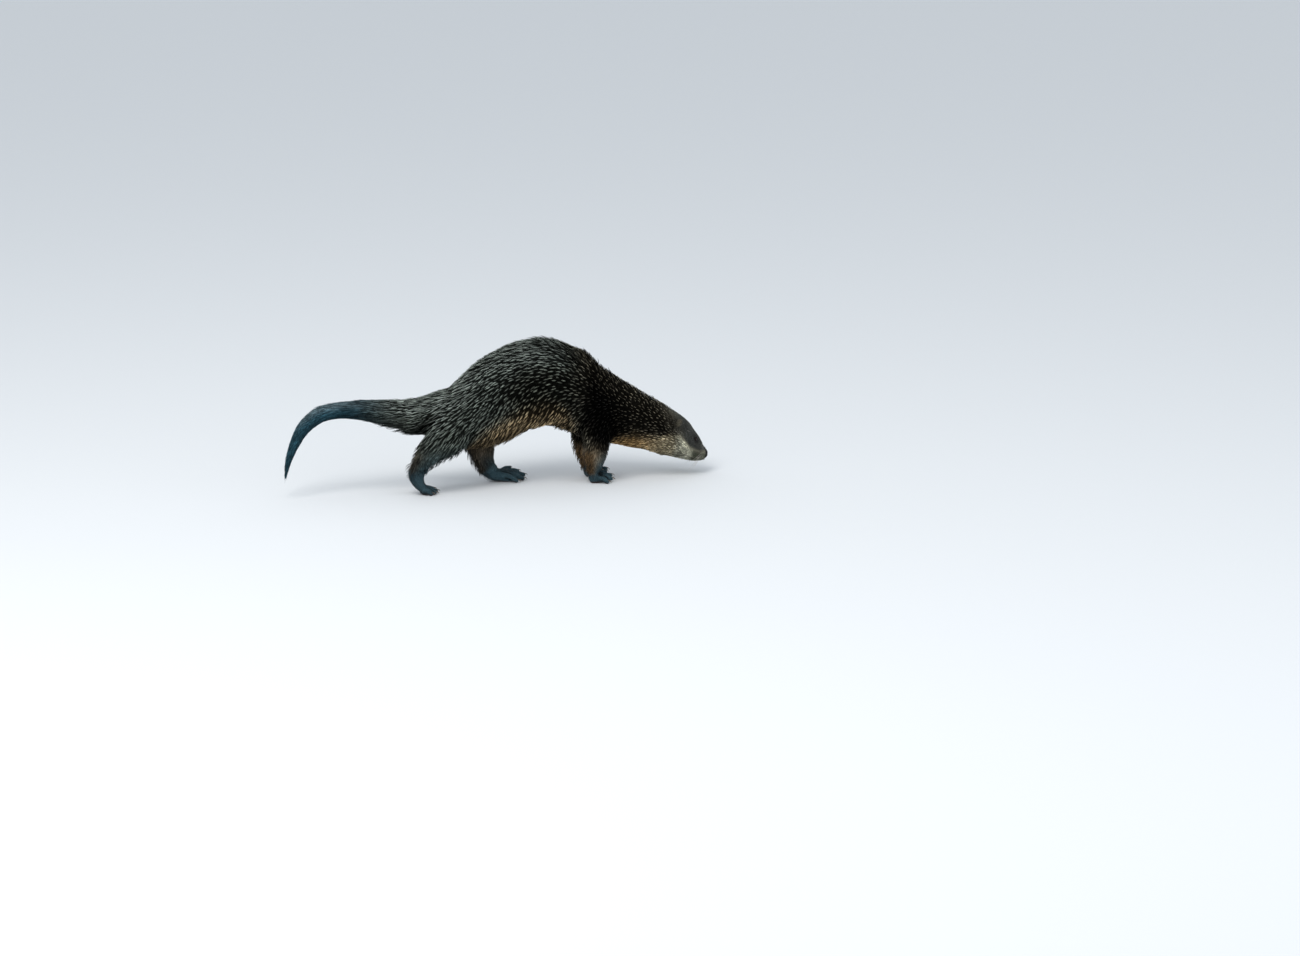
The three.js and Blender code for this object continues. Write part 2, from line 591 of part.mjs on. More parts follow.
const otter = new THREE.Group();
const addGroup = (title, shapes) => {
  const group = new THREE.Group();
  group.name = title;
  for (const [name, shape] of Object.entries(shapes)) {
    const finish = new THREE.MeshStandardMaterial(FINISHES[finishOf(name)]);
    const mesh = new THREE.Mesh(geometryOf(shape), finish);
    mesh.name = name;
    group.add(mesh);
  }
  otter.add(group);
};
addGroup("trunk", body);
addGroup("face", { lower_jaw: lowerJaw, nose_pad: nosePad, ...eyes, ...ears });
addGroup("limbs", legs);
addGroup("feet_and_claws", { ...feet, ...claws });

// The origin is on the floor under the middle of the whole animal.
const extent = new THREE.Box3().setFromObject(otter);
const centre = extent.getCenter(new THREE.Vector3());
otter.position.set(-centre.x, -centre.y, -extent.min.z);

export default otter;
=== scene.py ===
"""Dresses a life-size river otter: one skin over its flesh, a wet coat of solid tufts that lie from
the nose to the tail and down the legs, and its eyes, nose, whiskers and claws."""

import math

import bmesh
import bpy
import numpy as np
from bpy.props import FloatProperty, FloatVectorProperty, IntProperty, PointerProperty
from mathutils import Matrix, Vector
from mathutils.kdtree import KDTree


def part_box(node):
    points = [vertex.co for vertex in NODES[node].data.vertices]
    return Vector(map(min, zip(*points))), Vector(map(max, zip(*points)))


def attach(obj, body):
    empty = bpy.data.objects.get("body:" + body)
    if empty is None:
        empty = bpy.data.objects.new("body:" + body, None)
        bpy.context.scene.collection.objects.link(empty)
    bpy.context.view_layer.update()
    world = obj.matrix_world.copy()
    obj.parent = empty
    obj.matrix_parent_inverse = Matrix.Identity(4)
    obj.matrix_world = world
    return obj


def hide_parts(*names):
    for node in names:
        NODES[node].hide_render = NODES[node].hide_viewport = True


bl_info = {
    "name": "River otter",
    "version": (1, 0, 0),
    "blender": (4, 5, 0),
    "location": "View3D > Sidebar > Otter",
    "description": "Skin, coat, eyes, nose, whiskers and claws of a still, life-size river otter",
    "category": "Object",
}

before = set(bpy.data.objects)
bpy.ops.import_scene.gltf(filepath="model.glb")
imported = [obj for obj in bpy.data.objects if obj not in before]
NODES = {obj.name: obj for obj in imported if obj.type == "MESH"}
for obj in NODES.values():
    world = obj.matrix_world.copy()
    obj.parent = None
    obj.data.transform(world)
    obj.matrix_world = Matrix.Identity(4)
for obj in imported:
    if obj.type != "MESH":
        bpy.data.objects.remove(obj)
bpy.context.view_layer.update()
MM = 0.001


def middle_of(node):
    """The middle of one solid's box."""
    low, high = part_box(node)
    return np.array((low + high) / 2)


MIDDLE_Y = float(middle_of("nose_pad")[1])
EYE_RADIUS = float((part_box("eye_left")[1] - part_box("eye_left")[0])[2]) / 2

# ---- Which solids the skin stands for, and the kind of coat that each carries ----
SIDES = ("left", "right")
LEGS = [f"{leg}_{side}" for leg in ("foreleg", "hindleg") for side in SIDES]
FEET = [f"{foot}_{side}" for foot in ("forepaw", "hindfoot") for side in SIDES]
EARS = [f"ear_{side}" for side in SIDES]
KIND_OF = {
    "tail_tip": "tail_end",
    "tail_middle": "tail",
    "tail_base": "body",
    "rump": "body",
    "loin": "body",
    "chest": "body",
    "neck": "neck",
    "head": "face",
    "lower_jaw": "face",
    **{ear: "ear" for ear in EARS},
    **{leg: "leg" for leg in LEGS},
    **{foot: "foot" for foot in FEET},
}
FLESH = list(KIND_OF)

# The lie of the coat in the side view: x and z of a place (mm) and the way the hair points there,
# in degrees below the way to the tail. Hair points from the nose back, and down the legs.
LIE = (
    (-49, 307, 33), (-97, 250, 33), (-164, 212, 15), (-193, 201, 8), (-9, 255, 25),
    (55, 289, 10), (111, 315, -5), (82, 281, 8), (118, 244, -12), (28, 205, 38),
    (-84, 188, 30), (16, 195, 48), (-34, 148, 50), (73, 176, 60), (124, 162, 66),
    (-151, 142, 36), (-178, 118, 44), (-117, 120, 42), (-161, 192, 22), (194, 275, -42),
    (153, 230, -25), (213, 224, -36), (176, 177, 18), (169, 128, 62), (166, 98, 78),
    (190, 64, 86), (249, 222, -38), (308, 183, -30), (284, 125, -12), (354, 90, -18),
    (375, 132, -33), (429, 81, -42), (460, 49, -35),
    (-173, 90, 64), (-185, 69, 88), (-190, 46, 102), (-183, 23, 125), (-157, 13, 165),
    (-12, 95, 80), (-16, 67, 88), (-5, 39, 112), (20, 15, 150), (59, 5, 170),
    (200, 34, 92), (206, 15, 120), (235, 5, 165),
    (-242, 189, 4), (-306, 195, 0), (-360, 200, 4), (-403, 190, 25), (-434, 168, 45),
    (-453, 135, 62), (-468, 91, 78), (-479, 51, 88), (-218, 150, -12), (-283, 166, -9),
)

# Edges in the side view, x and z (mm): over the pale throat and cheek, over the warm lower side,
# and under the browner nape.
PALE_EDGE = (
    (230, 52), (238, 86), (255, 97), (290, 100), (320, 96), (345, 91), (377, 98), (403, 92),
    (415, 79), (427, 64), (446, 54), (463, 48), (480, 45),
)
WARM_EDGE = (
    (-120, 60), (-60, 124), (-10, 160), (40, 182), (90, 192), (130, 182), (160, 152), (186, 60),
)
NAPE_EDGE = ((150, 285), (200, 248), (250, 205), (310, 160), (370, 128), (430, 96))

# Legs in front of this are forelegs, and behind it hind legs (mm).
LEGS_PART = 100

# Where one coat passes into the next, from the first place to the last (mm): first along the body,
# as x, then over the floor, as z.
SPANS = {
    "tail_sleek": (-300, -215),
    "tail_sheen_end": (-330, -235),
    "tail_blue": (-330, -200),
    "tail_shade": (-240, -140),
    "thigh_back": (-240, -205),
    "thigh_front": (-110, -70),
    "rump_end": (-110, -30),
    "belly_start": (-130, -60),
    "belly_end": (150, 190),
    "crest_end": (110, 165),
    "crest_sheen_end": (120, 190),
    "nape_start": (138, 200),
    "throat_start": (228, 262),
    "shoulder_fade": (225, 300),
    "breast_end": (290, 385),
    "cheek_start": (385, 405),
    "lips_start": (423, 439),
    "mouth_start": (421, 427),
    "muzzle_start": (415, 452),
    "face_start": (372, 436),
    "fine_head": (350, 385),
    "fine_feet_start": (-400, -380),
    "fine_feet_top": (35, 75),
    "wrist": (16, 62),
    "ankle": (26, 58),
    "elbow": (72, 98),
    "knee": (90, 120),
    "thigh_top": (150, 185),
    "crest_top": (268, 296),
    "haunch_top": (98, 132),
    "foreleg_warm": (70, 102),
    "hindleg_warm": (85, 140),
    "right_foot_blue": (48, 102),
    "left_foot_blue": (30, 92),
    "forefoot_blue": (24, 96),
    "toes_blue": (22, 50),
    "thigh_shade": (90, 150),
    "shank_shade": (74, 98),
}


# ---- Meshes and materials ----
def finish_piece(obj, replaced=()):
    """Puts a finished piece on the body, and hides the solids that it replaces."""
    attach(obj, "root")
    if replaced:
        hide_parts(*replaced)


def linked(name, data):
    """A new object in the scene."""
    obj = bpy.data.objects.new(name, data)
    bpy.context.scene.collection.objects.link(obj)
    return obj


def new_object(name, mesh, material):
    """A new object in the scene, smooth, with one material."""
    obj = linked(name, mesh)
    mesh.polygons.foreach_set("use_smooth", np.ones(len(mesh.polygons), bool))
    mesh.materials.clear()
    mesh.materials.append(material)
    return obj


def mesh_of(name, points, faces):
    """A mesh from rows of points and rows of triangles."""
    mesh = bpy.data.meshes.new(name)
    mesh.vertices.add(len(points))
    mesh.vertices.foreach_set("co", np.ascontiguousarray(points, np.float32).ravel())
    mesh.loops.add(len(faces) * 3)
    mesh.loops.foreach_set("vertex_index", np.ascontiguousarray(faces, np.int32).ravel())
    mesh.polygons.add(len(faces))
    mesh.polygons.foreach_set("loop_start", np.arange(len(faces), dtype=np.int32) * 3)
    mesh.update(calc_edges=True)
    return mesh


def set_values(mesh, name, kind, values):
    """Stores one value a corner point: a FLOAT, a FLOAT_VECTOR or a FLOAT_COLOR."""
    layer = mesh.attributes.new(name, kind, "POINT")
    if kind == "FLOAT_COLOR":
        values = np.c_[values, np.ones(len(values))]
    key = {"FLOAT": "value", "FLOAT_VECTOR": "vector", "FLOAT_COLOR": "color"}[kind]
    layer.data.foreach_set(key, np.ascontiguousarray(values, np.float32).ravel())


def read(things, key, kind, width):
    """One property of every vertex, face or loop, as rows."""
    values = np.empty(len(things) * width, kind)
    things.foreach_get(key, values)
    return values.reshape(-1, width) if width > 1 else values


def rise(low, high, value):
    """0 below low, 1 above high and smooth between."""
    t = np.clip((value - low) / (high - low), 0, 1)
    return t * t * (3 - 2 * t)


def past(span, value):
    """0 before a named span, 1 after it and smooth between."""
    return rise(*SPANS[span], value)


def unit(rows):
    """Each row at a length of 1."""
    return rows / np.maximum(np.linalg.norm(rows, axis=-1, keepdims=True), 1e-12)


def tree_of(points):
    """A tree that finds the row of the point nearest to a place."""
    tree = KDTree(len(points))
    for row, point in enumerate(points):
        tree.insert(point, row)
    tree.balance()
    return tree


def in_triangle(random, count):
    """The shares of a triangle's second and third corner at random places inside it."""
    u, v = random.random((2, count))
    flip = u + v > 1
    return np.where(flip, 1 - u, u), np.where(flip, 1 - v, v)


# Sockets of a Mix node that mixes colours.
MIX_SHARE, MIX_FIRST, MIX_SECOND, MIX_RESULT = 0, 6, 7, 2


class Shader:
    """Builds one material's nodes."""

    def __init__(self, name):
        self.material = bpy.data.materials.new(name)
        self.material.use_nodes = True
        self.tree = self.material.node_tree
        self.bsdf = self.tree.nodes["Principled BSDF"]

    def node(self, kind, **settings):
        """A new node of a kind."""
        made = self.tree.nodes.new(kind)
        for key, value in settings.items():
            setattr(made, key, value)
        return made

    def link(self, out, into):
        """Joins two sockets."""
        self.tree.links.new(out, into)

    def attribute(self, name, output="Color"):
        """What the mesh stores under a name."""
        return self.node("ShaderNodeAttribute", attribute_name=name).outputs[output]

    def along(self):
        """How far a place is along its claw or bristle, from the root."""
        split = self.node("ShaderNodeSeparateXYZ")
        self.link(self.attribute("strand", "Vector"), split.inputs[0])
        return split.outputs["X"]

    def noise(self, vector, scale, detail=3.0, rough=0.55):
        """Soft noise at a place."""
        made = self.node("ShaderNodeTexNoise")
        made.inputs["Scale"].default_value = scale
        made.inputs["Detail"].default_value = detail
        made.inputs["Roughness"].default_value = rough
        self.link(vector, made.inputs["Vector"])
        return made.outputs["Fac"]

    def place(self, stretch=(1, 1, 1)):
        """The place on the piece, stretched."""
        made = self.node("ShaderNodeMapping")
        made.inputs["Scale"].default_value = stretch
        self.link(self.node("ShaderNodeTexCoord").outputs["Object"], made.inputs["Vector"])
        return made.outputs["Vector"]

    def ramp(self, value, *stops):
        """value turned into grey levels, from (position, level) stops."""
        made = self.node("ShaderNodeValToRGB")
        ramp = made.color_ramp
        while len(ramp.elements) < len(stops):
            ramp.elements.new(0.5)
        for element, (position, level) in zip(ramp.elements, stops):
            element.position = position
            element.color = (level, level, level, 1)
        self.link(value, made.inputs["Fac"])
        return made.outputs["Color"]

    def times(self, colour, other):
        """One colour multiplied by another."""
        made = self.node("ShaderNodeMix", data_type="RGBA", blend_type="MULTIPLY")
        made.inputs[MIX_SHARE].default_value = 1
        self.link(colour, made.inputs[MIX_FIRST])
        self.link(other, made.inputs[MIX_SECOND])
        return made.outputs[MIX_RESULT]

    def blend(self, share, first, second):
        """A blend of two colours."""
        made = self.node("ShaderNodeMix", data_type="RGBA")
        self.link(share, made.inputs[MIX_SHARE])
        for key, value in ((MIX_FIRST, first), (MIX_SECOND, second)):
            if isinstance(value, bpy.types.NodeSocket):
                self.link(value, made.inputs[key])
            else:
                made.inputs[key].default_value = (*value, 1)
        return made.outputs[MIX_RESULT]

    def bump(self, height, distance, strength=0.6):
        """Raises the surface by a height map."""
        made = self.node("ShaderNodeBump")
        made.inputs["Strength"].default_value = strength
        made.inputs["Distance"].default_value = distance
        self.link(height, made.inputs["Height"])
        self.link(made.outputs["Normal"], self.bsdf.inputs["Normal"])

    def paint(self, colour):
        """Gives the surface its colour."""
        self.link(colour, self.bsdf.inputs["Base Color"])

    def set(self, **values):
        """Sets inputs of the surface."""
        for key, value in values.items():
            self.bsdf.inputs[key.replace("_", " ")].default_value = value


# ---- The skin ----
# How near split corners are joined, how far solids grow to close the gaps between them, and how far
# apart and how many at least the points are that say which solid is near.
WELD = 0.01 * MM
SEAM = 0.4 * MM
SAMPLE_STEP = 4 * MM
LEAST_SAMPLES = 8


def welded(node, grow=0.0):
    """The corners and triangles of one solid with split corners joined, moved out by grow."""
    mesh = bmesh.new()
    mesh.from_mesh(NODES[node].data)
    bmesh.ops.remove_doubles(mesh, verts=mesh.verts, dist=WELD)
    mesh.normal_update()
    points = np.array([v.co + v.normal * grow for v in mesh.verts])
    faces = np.array([[v.index for v in face.verts] for face in mesh.faces])
    mesh.free()
    return points, faces


def with_modifiers(obj):
    """The mesh that an object's modifiers make. The object goes."""
    graph = bpy.context.evaluated_depsgraph_get()
    made = bpy.data.meshes.new_from_object(obj.evaluated_get(graph))
    bpy.data.objects.remove(obj)
    return made


def one_hull(nodes, voxel):
    """One closed mesh round several solids, with the gaps between them closed."""
    points, faces, count = [], [], 0
    for node in nodes:
        corners, triangles = welded(node, SEAM)
        points.append(corners)
        faces.append(triangles + count)
        count += len(corners)
    mesh = mesh_of("hull", np.concatenate(points), np.concatenate(faces))
    obj = linked("hull", mesh)
    remesh = obj.modifiers.new("hull", "REMESH")
    remesh.mode = "VOXEL"
    remesh.voxel_size = voxel
    return with_modifiers(obj)


# Steps between the places that keep their faces and those that lose most.
THIN_LEVELS = 10


def thinned(mesh, keep, ratio):
    """The mesh with fewer faces where keep is 0."""
    obj = linked("thinned", mesh)
    group = obj.vertex_groups.new(name="loose")
    for level in range(1, THIN_LEVELS + 1):
        chosen = np.flatnonzero(np.round((1 - keep) * THIN_LEVELS) == level)
        if len(chosen):
            group.add(chosen.tolist(), level / THIN_LEVELS, "REPLACE")
    thin = obj.modifiers.new("thin", "DECIMATE")
    thin.ratio = ratio
    thin.vertex_group = group.name
    thin.use_collapse_triangulate = True
    made = with_modifiers(obj)
    bpy.data.meshes.remove(mesh)
    return made


def sample_points(node, random):
    """Points spread over one solid's surface."""
    points, faces = welded(node)
    a, b, c = (points[faces[:, i]] for i in range(3))
    area = np.linalg.norm(np.cross(b - a, c - a), axis=1) / 2
    count = int(area.sum() / SAMPLE_STEP**2) + LEAST_SAMPLES
    pick = random.choice(len(faces), count, p=area / area.sum())
    u, v = in_triangle(random, count)
    return a[pick] + u[:, None] * (b - a)[pick] + v[:, None] * (c - a)[pick]


def nearest_solid(places, random):
    """For each place, the row in FLESH of the solid that it lies on."""
    clouds = [sample_points(node, random) for node in FLESH]
    owner = np.repeat(np.arange(len(clouds)), [len(cloud) for cloud in clouds])
    tree = tree_of(np.concatenate(clouds))
    return np.array([owner[tree.find(place)[1]] for place in places])


class Skin:
    """A triangle mesh with what its coat needs, as one row for each vertex."""

    def __init__(self, mesh):
        self.mesh = mesh
        self.co = read(mesh.vertices, "co", np.float32, 3).astype(float)
        edges = read(mesh.edges, "vertices", np.int32, 2)
        both = np.concatenate([edges, edges[:, ::-1]])
        both = both[np.argsort(both[:, 0], kind="stable")]
        self.to = both[:, 1]
        self.count = np.bincount(both[:, 0], minlength=len(self.co))
        self.start = np.concatenate([[0], np.cumsum(self.count)[:-1]])
        self.fit()

    def fit(self):
        """Writes the places back and reads the normals."""
        self.mesh.vertices.foreach_set("co", self.co.astype(np.float32).ravel())
        self.mesh.update()
        self.normal = read(self.mesh.vertex_normals, "vector", np.float32, 3).astype(float)

    def relaxed(self, rows, rounds, share=1.0):
        """rows with each one moved towards the mean of its neighbours, many times."""
        for _ in range(rounds):
            mean = np.add.reduceat(rows[self.to], self.start) / self.count[:, None]
            rows = rows + (mean - rows) * share
        return rows


def side_view(co):
    """x and z in millimetres, as rows."""
    return co[:, [0, 2]] / MM


# How far each guide's pull is softened (mm), how fast it falls, and how far the whorl at the nose
# reaches.
LIE_SOFTNESS = 9.0
LIE_FALL = 1.5
WHORL = 18 * MM


def lie_of(co, normal):
    """The way the coat lies at each place, along the surface."""
    guides = np.array(LIE, float)
    away = ((side_view(co)[:, None] - guides[None, :, :2]) ** 2).sum(2)
    weight = 1 / (away + LIE_SOFTNESS**2) ** LIE_FALL
    turn = np.radians(guides[:, 2])
    ways = np.c_[-np.cos(turn), np.zeros(len(turn)), -np.sin(turn)]
    way = unit(weight @ ways)
    tip = middle_of("nose_pad")
    off = co - tip
    near = np.exp(-np.linalg.norm(off, axis=1) / WHORL)[:, None]
    way = unit(way * (1 - near) + unit(off) * near)
    return unit(way - normal * (way * normal).sum(1, keepdims=True))


def below_edge(co, edge, softness):
    """1 under a line in the side view, 0 over it."""
    x, z = side_view(co).T
    line = np.interp(x, *np.array(edge, float).T)
    return rise(-softness, softness, line - z)


# The kinds of coat, with how much darker a tuft's root and edges are than its ridge and tip:
# painted shade at the root and edges, and a painted highlight on the ridge and tip.
CONTRAST = {
    "body": 0.98,
    "rump": 0.93,
    "side": 1.0,
    "thigh": 0.91,
    "shoulder": 1.0,
    "belly": 0.8,
    "neck": 0.95,
    "throat": 0.68,
    "face": 0.3,
    "ear": 0.35,
    "leg": 0.4,
    "spike": 0.58,
    "foot": 0.2,
    "tail": 0.64,
    "tail_end": 0.5,
}
# The share of that painted shade which also darkens the skin between the tufts.
SKIN_SHADE = 0.98

# The middle of the side, where tufts stand furthest apart: x, z and half sizes (mm), and where it
# fades, as shares of those.
SIDE_ZONE = (90, 214, 100, 62)
SIDE_FADE = (0.65, 1.2)
# The line in front of which the shoulders start: z, x (mm), and where they fade in round it (mm).
SHOULDER_EDGE = ((60, 215), (120, 180), (180, 172), (230, 178), (270, 200), (330, 260))
SHOULDER_FADE = (-12, 16)
# How soft the edges of the warm and the pale coat are, and how low the warm coat goes on legs (mm).
WARM_SOFTNESS = 16
PALE_SOFTNESS = 7
GROIN = 100


def zones(co, names):
    """How far each place is in the middle of the side, the shoulders, the belly and the throat."""
    x, z = side_view(co).T
    at_x, at_z, long, tall = SIDE_ZONE
    side = 1 - rise(*SIDE_FADE, np.hypot((x - at_x) / long, (z - at_z) / tall))
    shoulder = rise(*SHOULDER_FADE, x - np.interp(z, *np.array(SHOULDER_EDGE, float).T))
    belly = below_edge(co, WARM_EDGE, WARM_SOFTNESS) * past("belly_start", x)
    belly = belly * (1 - past("belly_end", x))
    trunk = ~np.isin(names, LEGS + FEET)
    throat = below_edge(co, PALE_EDGE, PALE_SOFTNESS) * past("throat_start", x) * trunk
    return side, shoulder * (1 - throat), belly * (trunk | (z > GROIN)), throat


# The front of the face leans forward: by how much for each millimetre up, from this height (mm).
FACE_LEAN = 0.25
MUZZLE_LEAN = 0.3
FACE_HEIGHT = 80


def face_front(x, z):
    """How far a place on the head is past the end of the neck's long coat."""
    return past("face_start", x + FACE_LEAN * (z - FACE_HEIGHT))


# How far tufts may stand out where wide wet spikes take over from short hair (mm).
SPIKE_FADE = (1.5, 4.5)


def coat_sizes(skin, solid, coat):
    """Depth, tuft length, tuft width, spacing and contrast at each place, as rows."""
    co = skin.co
    sizes = {kind: np.array([*getattr(coat, kind), CONTRAST[kind]]) for kind in CONTRAST}
    rows = np.array([sizes[KIND_OF[node]] for node in FLESH])[solid]
    x, z = side_view(co).T
    names = np.array(FLESH)[solid]
    side, shoulder, belly, throat = zones(co, names)

    def lay(kind, share):
        nonlocal rows
        rows = rows * (1 - share[:, None]) + sizes[kind] * share[:, None]

    on_leg = np.isin(names, LEGS)
    hind = x < LEGS_PART
    upper = np.where(hind, past("knee", z), past("elbow", z)) * on_leg
    lay("body", upper)
    lay("foot", np.where(on_leg, 1 - np.where(hind, past("ankle", z), past("wrist", z)), 0))
    trunk = np.maximum(np.isin(names, ("rump", "loin", "chest", "neck")), upper)
    crest = past("crest_top", z) * (1 - past("crest_end", x))
    sleek = np.maximum(1 - past("rump_end", x), crest)
    lay("rump", sleek * np.isin(names, ("chest", "loin", "rump", "tail_base")))
    thigh = past("thigh_back", x) * (1 - past("thigh_front", x)) * (1 - past("thigh_top", z))
    lay("thigh", thigh * trunk)
    lay("belly", belly * trunk)
    lay("side", side * trunk)
    lay("shoulder", shoulder * trunk * (1 - throat))
    ahead = face_front(x, z)
    lay("neck", (1 - ahead) * np.isin(names, ("head", "lower_jaw")))
    lay("face", ahead * (names == "neck"))
    lay("throat", throat * (1 - ahead) * np.isin(names, ("neck", "head", "lower_jaw")))
    lay("tail", np.where(names == "tail_base", 1 - past("tail_sleek", x), 0))
    lay("spike", rise(*SPIKE_FADE, skin.ragged / MM) * np.isin(names, (*LEGS, "tail_base")))
    return rows


# The coat's uneven tone: how many waves make it, how close they are (per metre) and their strength.
MOTTLE_WAVES = 24
MOTTLE_REACH = (60, 260)
MOTTLE = 0.16
MOTTLE_SEED = 3


def mottle(co):
    """A soft uneven tone over the coat, round 1."""
    random = np.random.default_rng(MOTTLE_SEED)
    ways = unit(random.normal(size=(MOTTLE_WAVES, 3)))
    ways = ways * random.uniform(*MOTTLE_REACH, (MOTTLE_WAVES, 1))
    waves = np.sin(co @ ways.T + random.uniform(0, 2 * np.pi, MOTTLE_WAVES)).sum(1)
    return 1 + MOTTLE * waves / math.sqrt(MOTTLE_WAVES / 2)


# How the tail darkens to its underside: how far the surface faces up, tone.
TAIL_SHADE = ((-1, 0.4), (-0.5, 0.48), (-0.1, 0.72), (0.3, 0.9), (0.6, 1))
# How far the surface faces a way where a marking starts and where it is full: up for the painted
# sky sheen on the crest and the tail's ridge, back on the legs and the hocks, and inwards on the
# hind legs.
CREST_SHEEN_FACING = (0.18, 0.68)
TAIL_SHEEN_FACING = (0.25, 1)
REAR_FACING = (-0.3, 0.7)
HOCK_FACING = (0.1, 1.0)
INNER_FACING = (-0.2, 0.7)
# How far under and over its edge the nape's tone fades (mm), and how much of the shoulder's black
# is gone at the neck.
NAPE_FADE = (-30, 20)
SHOULDER_FADING = 0.45
# The right hind foot is behind this, the left one in front (mm).
HIND_FEET_PART = -100
# How warm legs are: forelegs all round and more at the rear, hocks, and the inner side of hind
# legs.
FORELEG_WARM = (0.15, 0.85)
HOCK_WARM = 0.45
INNER_WARM = 0.6
# How far the tone of the feet goes up: on forelegs and less at their rear, less at the rear of hind
# legs, and less on the left hind foot's top.
FORELEG_COOL = (0.95, 0.85)
HOCK_COOL = 0.6
INSTEP_COOL = 0.4
# How much darker the inner sides of thighs and shanks are, and how dark the ears are.
INNER_SHADE = 0.4
EAR_DARKNESS = 0.7


def coat_colours(co, normal, solid, paint):
    """The colour of the coat at each place, which skin and tufts share: its markings, with painted
    sky sheen, painted shade, painted blue reflections and painted bounced light.
    """
    x, z = side_view(co).T
    names = np.array(FLESH)[solid]
    side, shoulder, belly, throat = zones(co, names)
    on_head = np.isin(names, ("head", "lower_jaw"))
    colour = np.tile(paint.rump, (len(co), 1))

    def lay(tone, share):
        nonlocal colour
        share = share[:, None]
        colour = colour * (1 - share) + np.array(tone) * share

    up, back = normal[:, 2], -normal[:, 0]
    # Painted sky sheen: the coat of the back turns a cool grey where it faces up.
    lay(paint.crest, rise(*CREST_SHEEN_FACING, up) * (1 - past("crest_sheen_end", x)))
    lay(paint.side, side)
    lay(paint.nape, past("nape_start", x))
    low = 1 - rise(*NAPE_FADE, z - np.interp(x, *np.array(NAPE_EDGE, float).T))
    # Painted shade: the shoulders' coat, which stands toward the camera, is painted near black.
    lay(paint.shoulder, shoulder * low * (1 - SHOULDER_FADING * past("shoulder_fade", x)))
    lay(paint.flank, belly)

    on_leg, on_foot = np.isin(names, LEGS), np.isin(names, FEET)
    fore, hind = on_leg & (x > LEGS_PART), on_leg & (x < LEGS_PART)
    right = x < HIND_FEET_PART
    limb = (on_leg | on_foot) & (x < LEGS_PART)
    rear = rise(*REAR_FACING, back)
    inner = rise(*INNER_FACING, normal[:, 1] * np.sign(MIDDLE_Y - co[:, 1]))
    # Lower legs take the haunch colour: a dark grey coat with a painted blue-grey sky sheen.
    lay(paint.haunch, (1 - past("haunch_top", z)) * limb)
    warm = FORELEG_WARM[0] + FORELEG_WARM[1] * rear
    lay(paint.leg, np.where(fore, (1 - past("foreleg_warm", z)) * warm, 0))
    warm = np.maximum(rise(*HOCK_FACING, back) * HOCK_WARM, inner * INNER_WARM)
    lay(paint.leg, np.where(hind, (1 - past("hindleg_warm", z)) * warm, 0))
    # Feet and shanks take the feet's colour: a dark coat tinted blue by a painted reflection of the
    # sky.
    ankle = np.where(right, past("right_foot_blue", z), past("left_foot_blue", z))
    lay(paint.foot, np.where(hind, 1 - ankle, 0) * (1 - HOCK_COOL * rear))
    shaded = INNER_SHADE * (1 - past("thigh_shade", z)) + INNER_SHADE * past("shank_shade", z)
    colour *= (1 - shaded * inner * hind)[:, None]
    lay(paint.foot, on_foot * (1 - INSTEP_COOL * (limb & ~right) * past("toes_blue", z)))
    cool = FORELEG_COOL[0] - FORELEG_COOL[1] * rear
    lay(paint.foot, np.where(fore, (1 - past("forefoot_blue", z)) * cool, 0))

    # The tail's dark coat is tinted blue by a painted reflection of the sky.
    lay(paint.tail, 1 - past("tail_blue", x))
    under = 1 - np.interp(up, *np.array(TAIL_SHADE).T)
    colour *= (1 - under * (1 - past("tail_shade", x)))[:, None]
    # Painted sky sheen: the top of the tail turns a pale blue-grey where it faces up.
    lay(paint.ridge, rise(*TAIL_SHEEN_FACING, up) * (1 - past("tail_sheen_end", x)))

    lay(paint.crown, face_front(x, z) * (on_head | (names == "neck")))
    lay(paint.muzzle, past("muzzle_start", x + MUZZLE_LEAN * (z - FACE_HEIGHT)) * on_head)
    # Throat and cheeks: a pale coat, painted brighter still for light bounced up from the floor
    # under the head.
    lay(paint.throat, throat)
    lay(paint.breast, throat * (1 - past("breast_end", x)))
    lay(paint.cheek, throat * past("cheek_start", x))
    lay(paint.lips, throat * past("lips_start", x) * on_head)
    lay(paint.shoulder, EAR_DARKNESS * np.isin(names, EARS))
    return colour * mottle(co)[:, None]


# What the skin's operator leaves for those after it.
OTTER = {}


def refined(mesh, wanted):
    """The mesh with each wanted triangle split into four."""
    made = bmesh.new()
    made.from_mesh(mesh)
    faces = [face for face in made.faces if wanted[face.index]]
    edges = list({edge for face in faces for edge in face.edges})
    bmesh.ops.subdivide_edges(made, edges=edges, cuts=1, use_grid_fill=True)
    bmesh.ops.triangulate(made, faces=made.faces)
    made.to_mesh(mesh)
    made.free()
    return mesh


def face_middles(mesh):
    """The middle of each triangle."""
    corners = read(mesh.loops, "vertex_index", np.int32, 1).reshape(-1, 3)
    return read(mesh.vertices, "co", np.float32, 3)[corners].mean(1)


# The skin round an eye that says which way it looks out.
SOCKET = 12 * MM
# Stands for a place well outside an eye or the mouth.
FAR = 9.0


def eye_frame(skin, side):
    """The middle of an eye, and the ways out, forward and up there."""
    middle = middle_of(f"eye_{side}")
    near = np.linalg.norm(skin.co - middle, axis=1) < SOCKET
    out = unit(skin.normal[near].mean(0))
    ahead = middle_of("nose_pad") - middle
    ahead = unit(ahead - out * (ahead @ out))
    up = np.cross(out, ahead)
    return middle, out, ahead, up if up[2] > 0 else -up


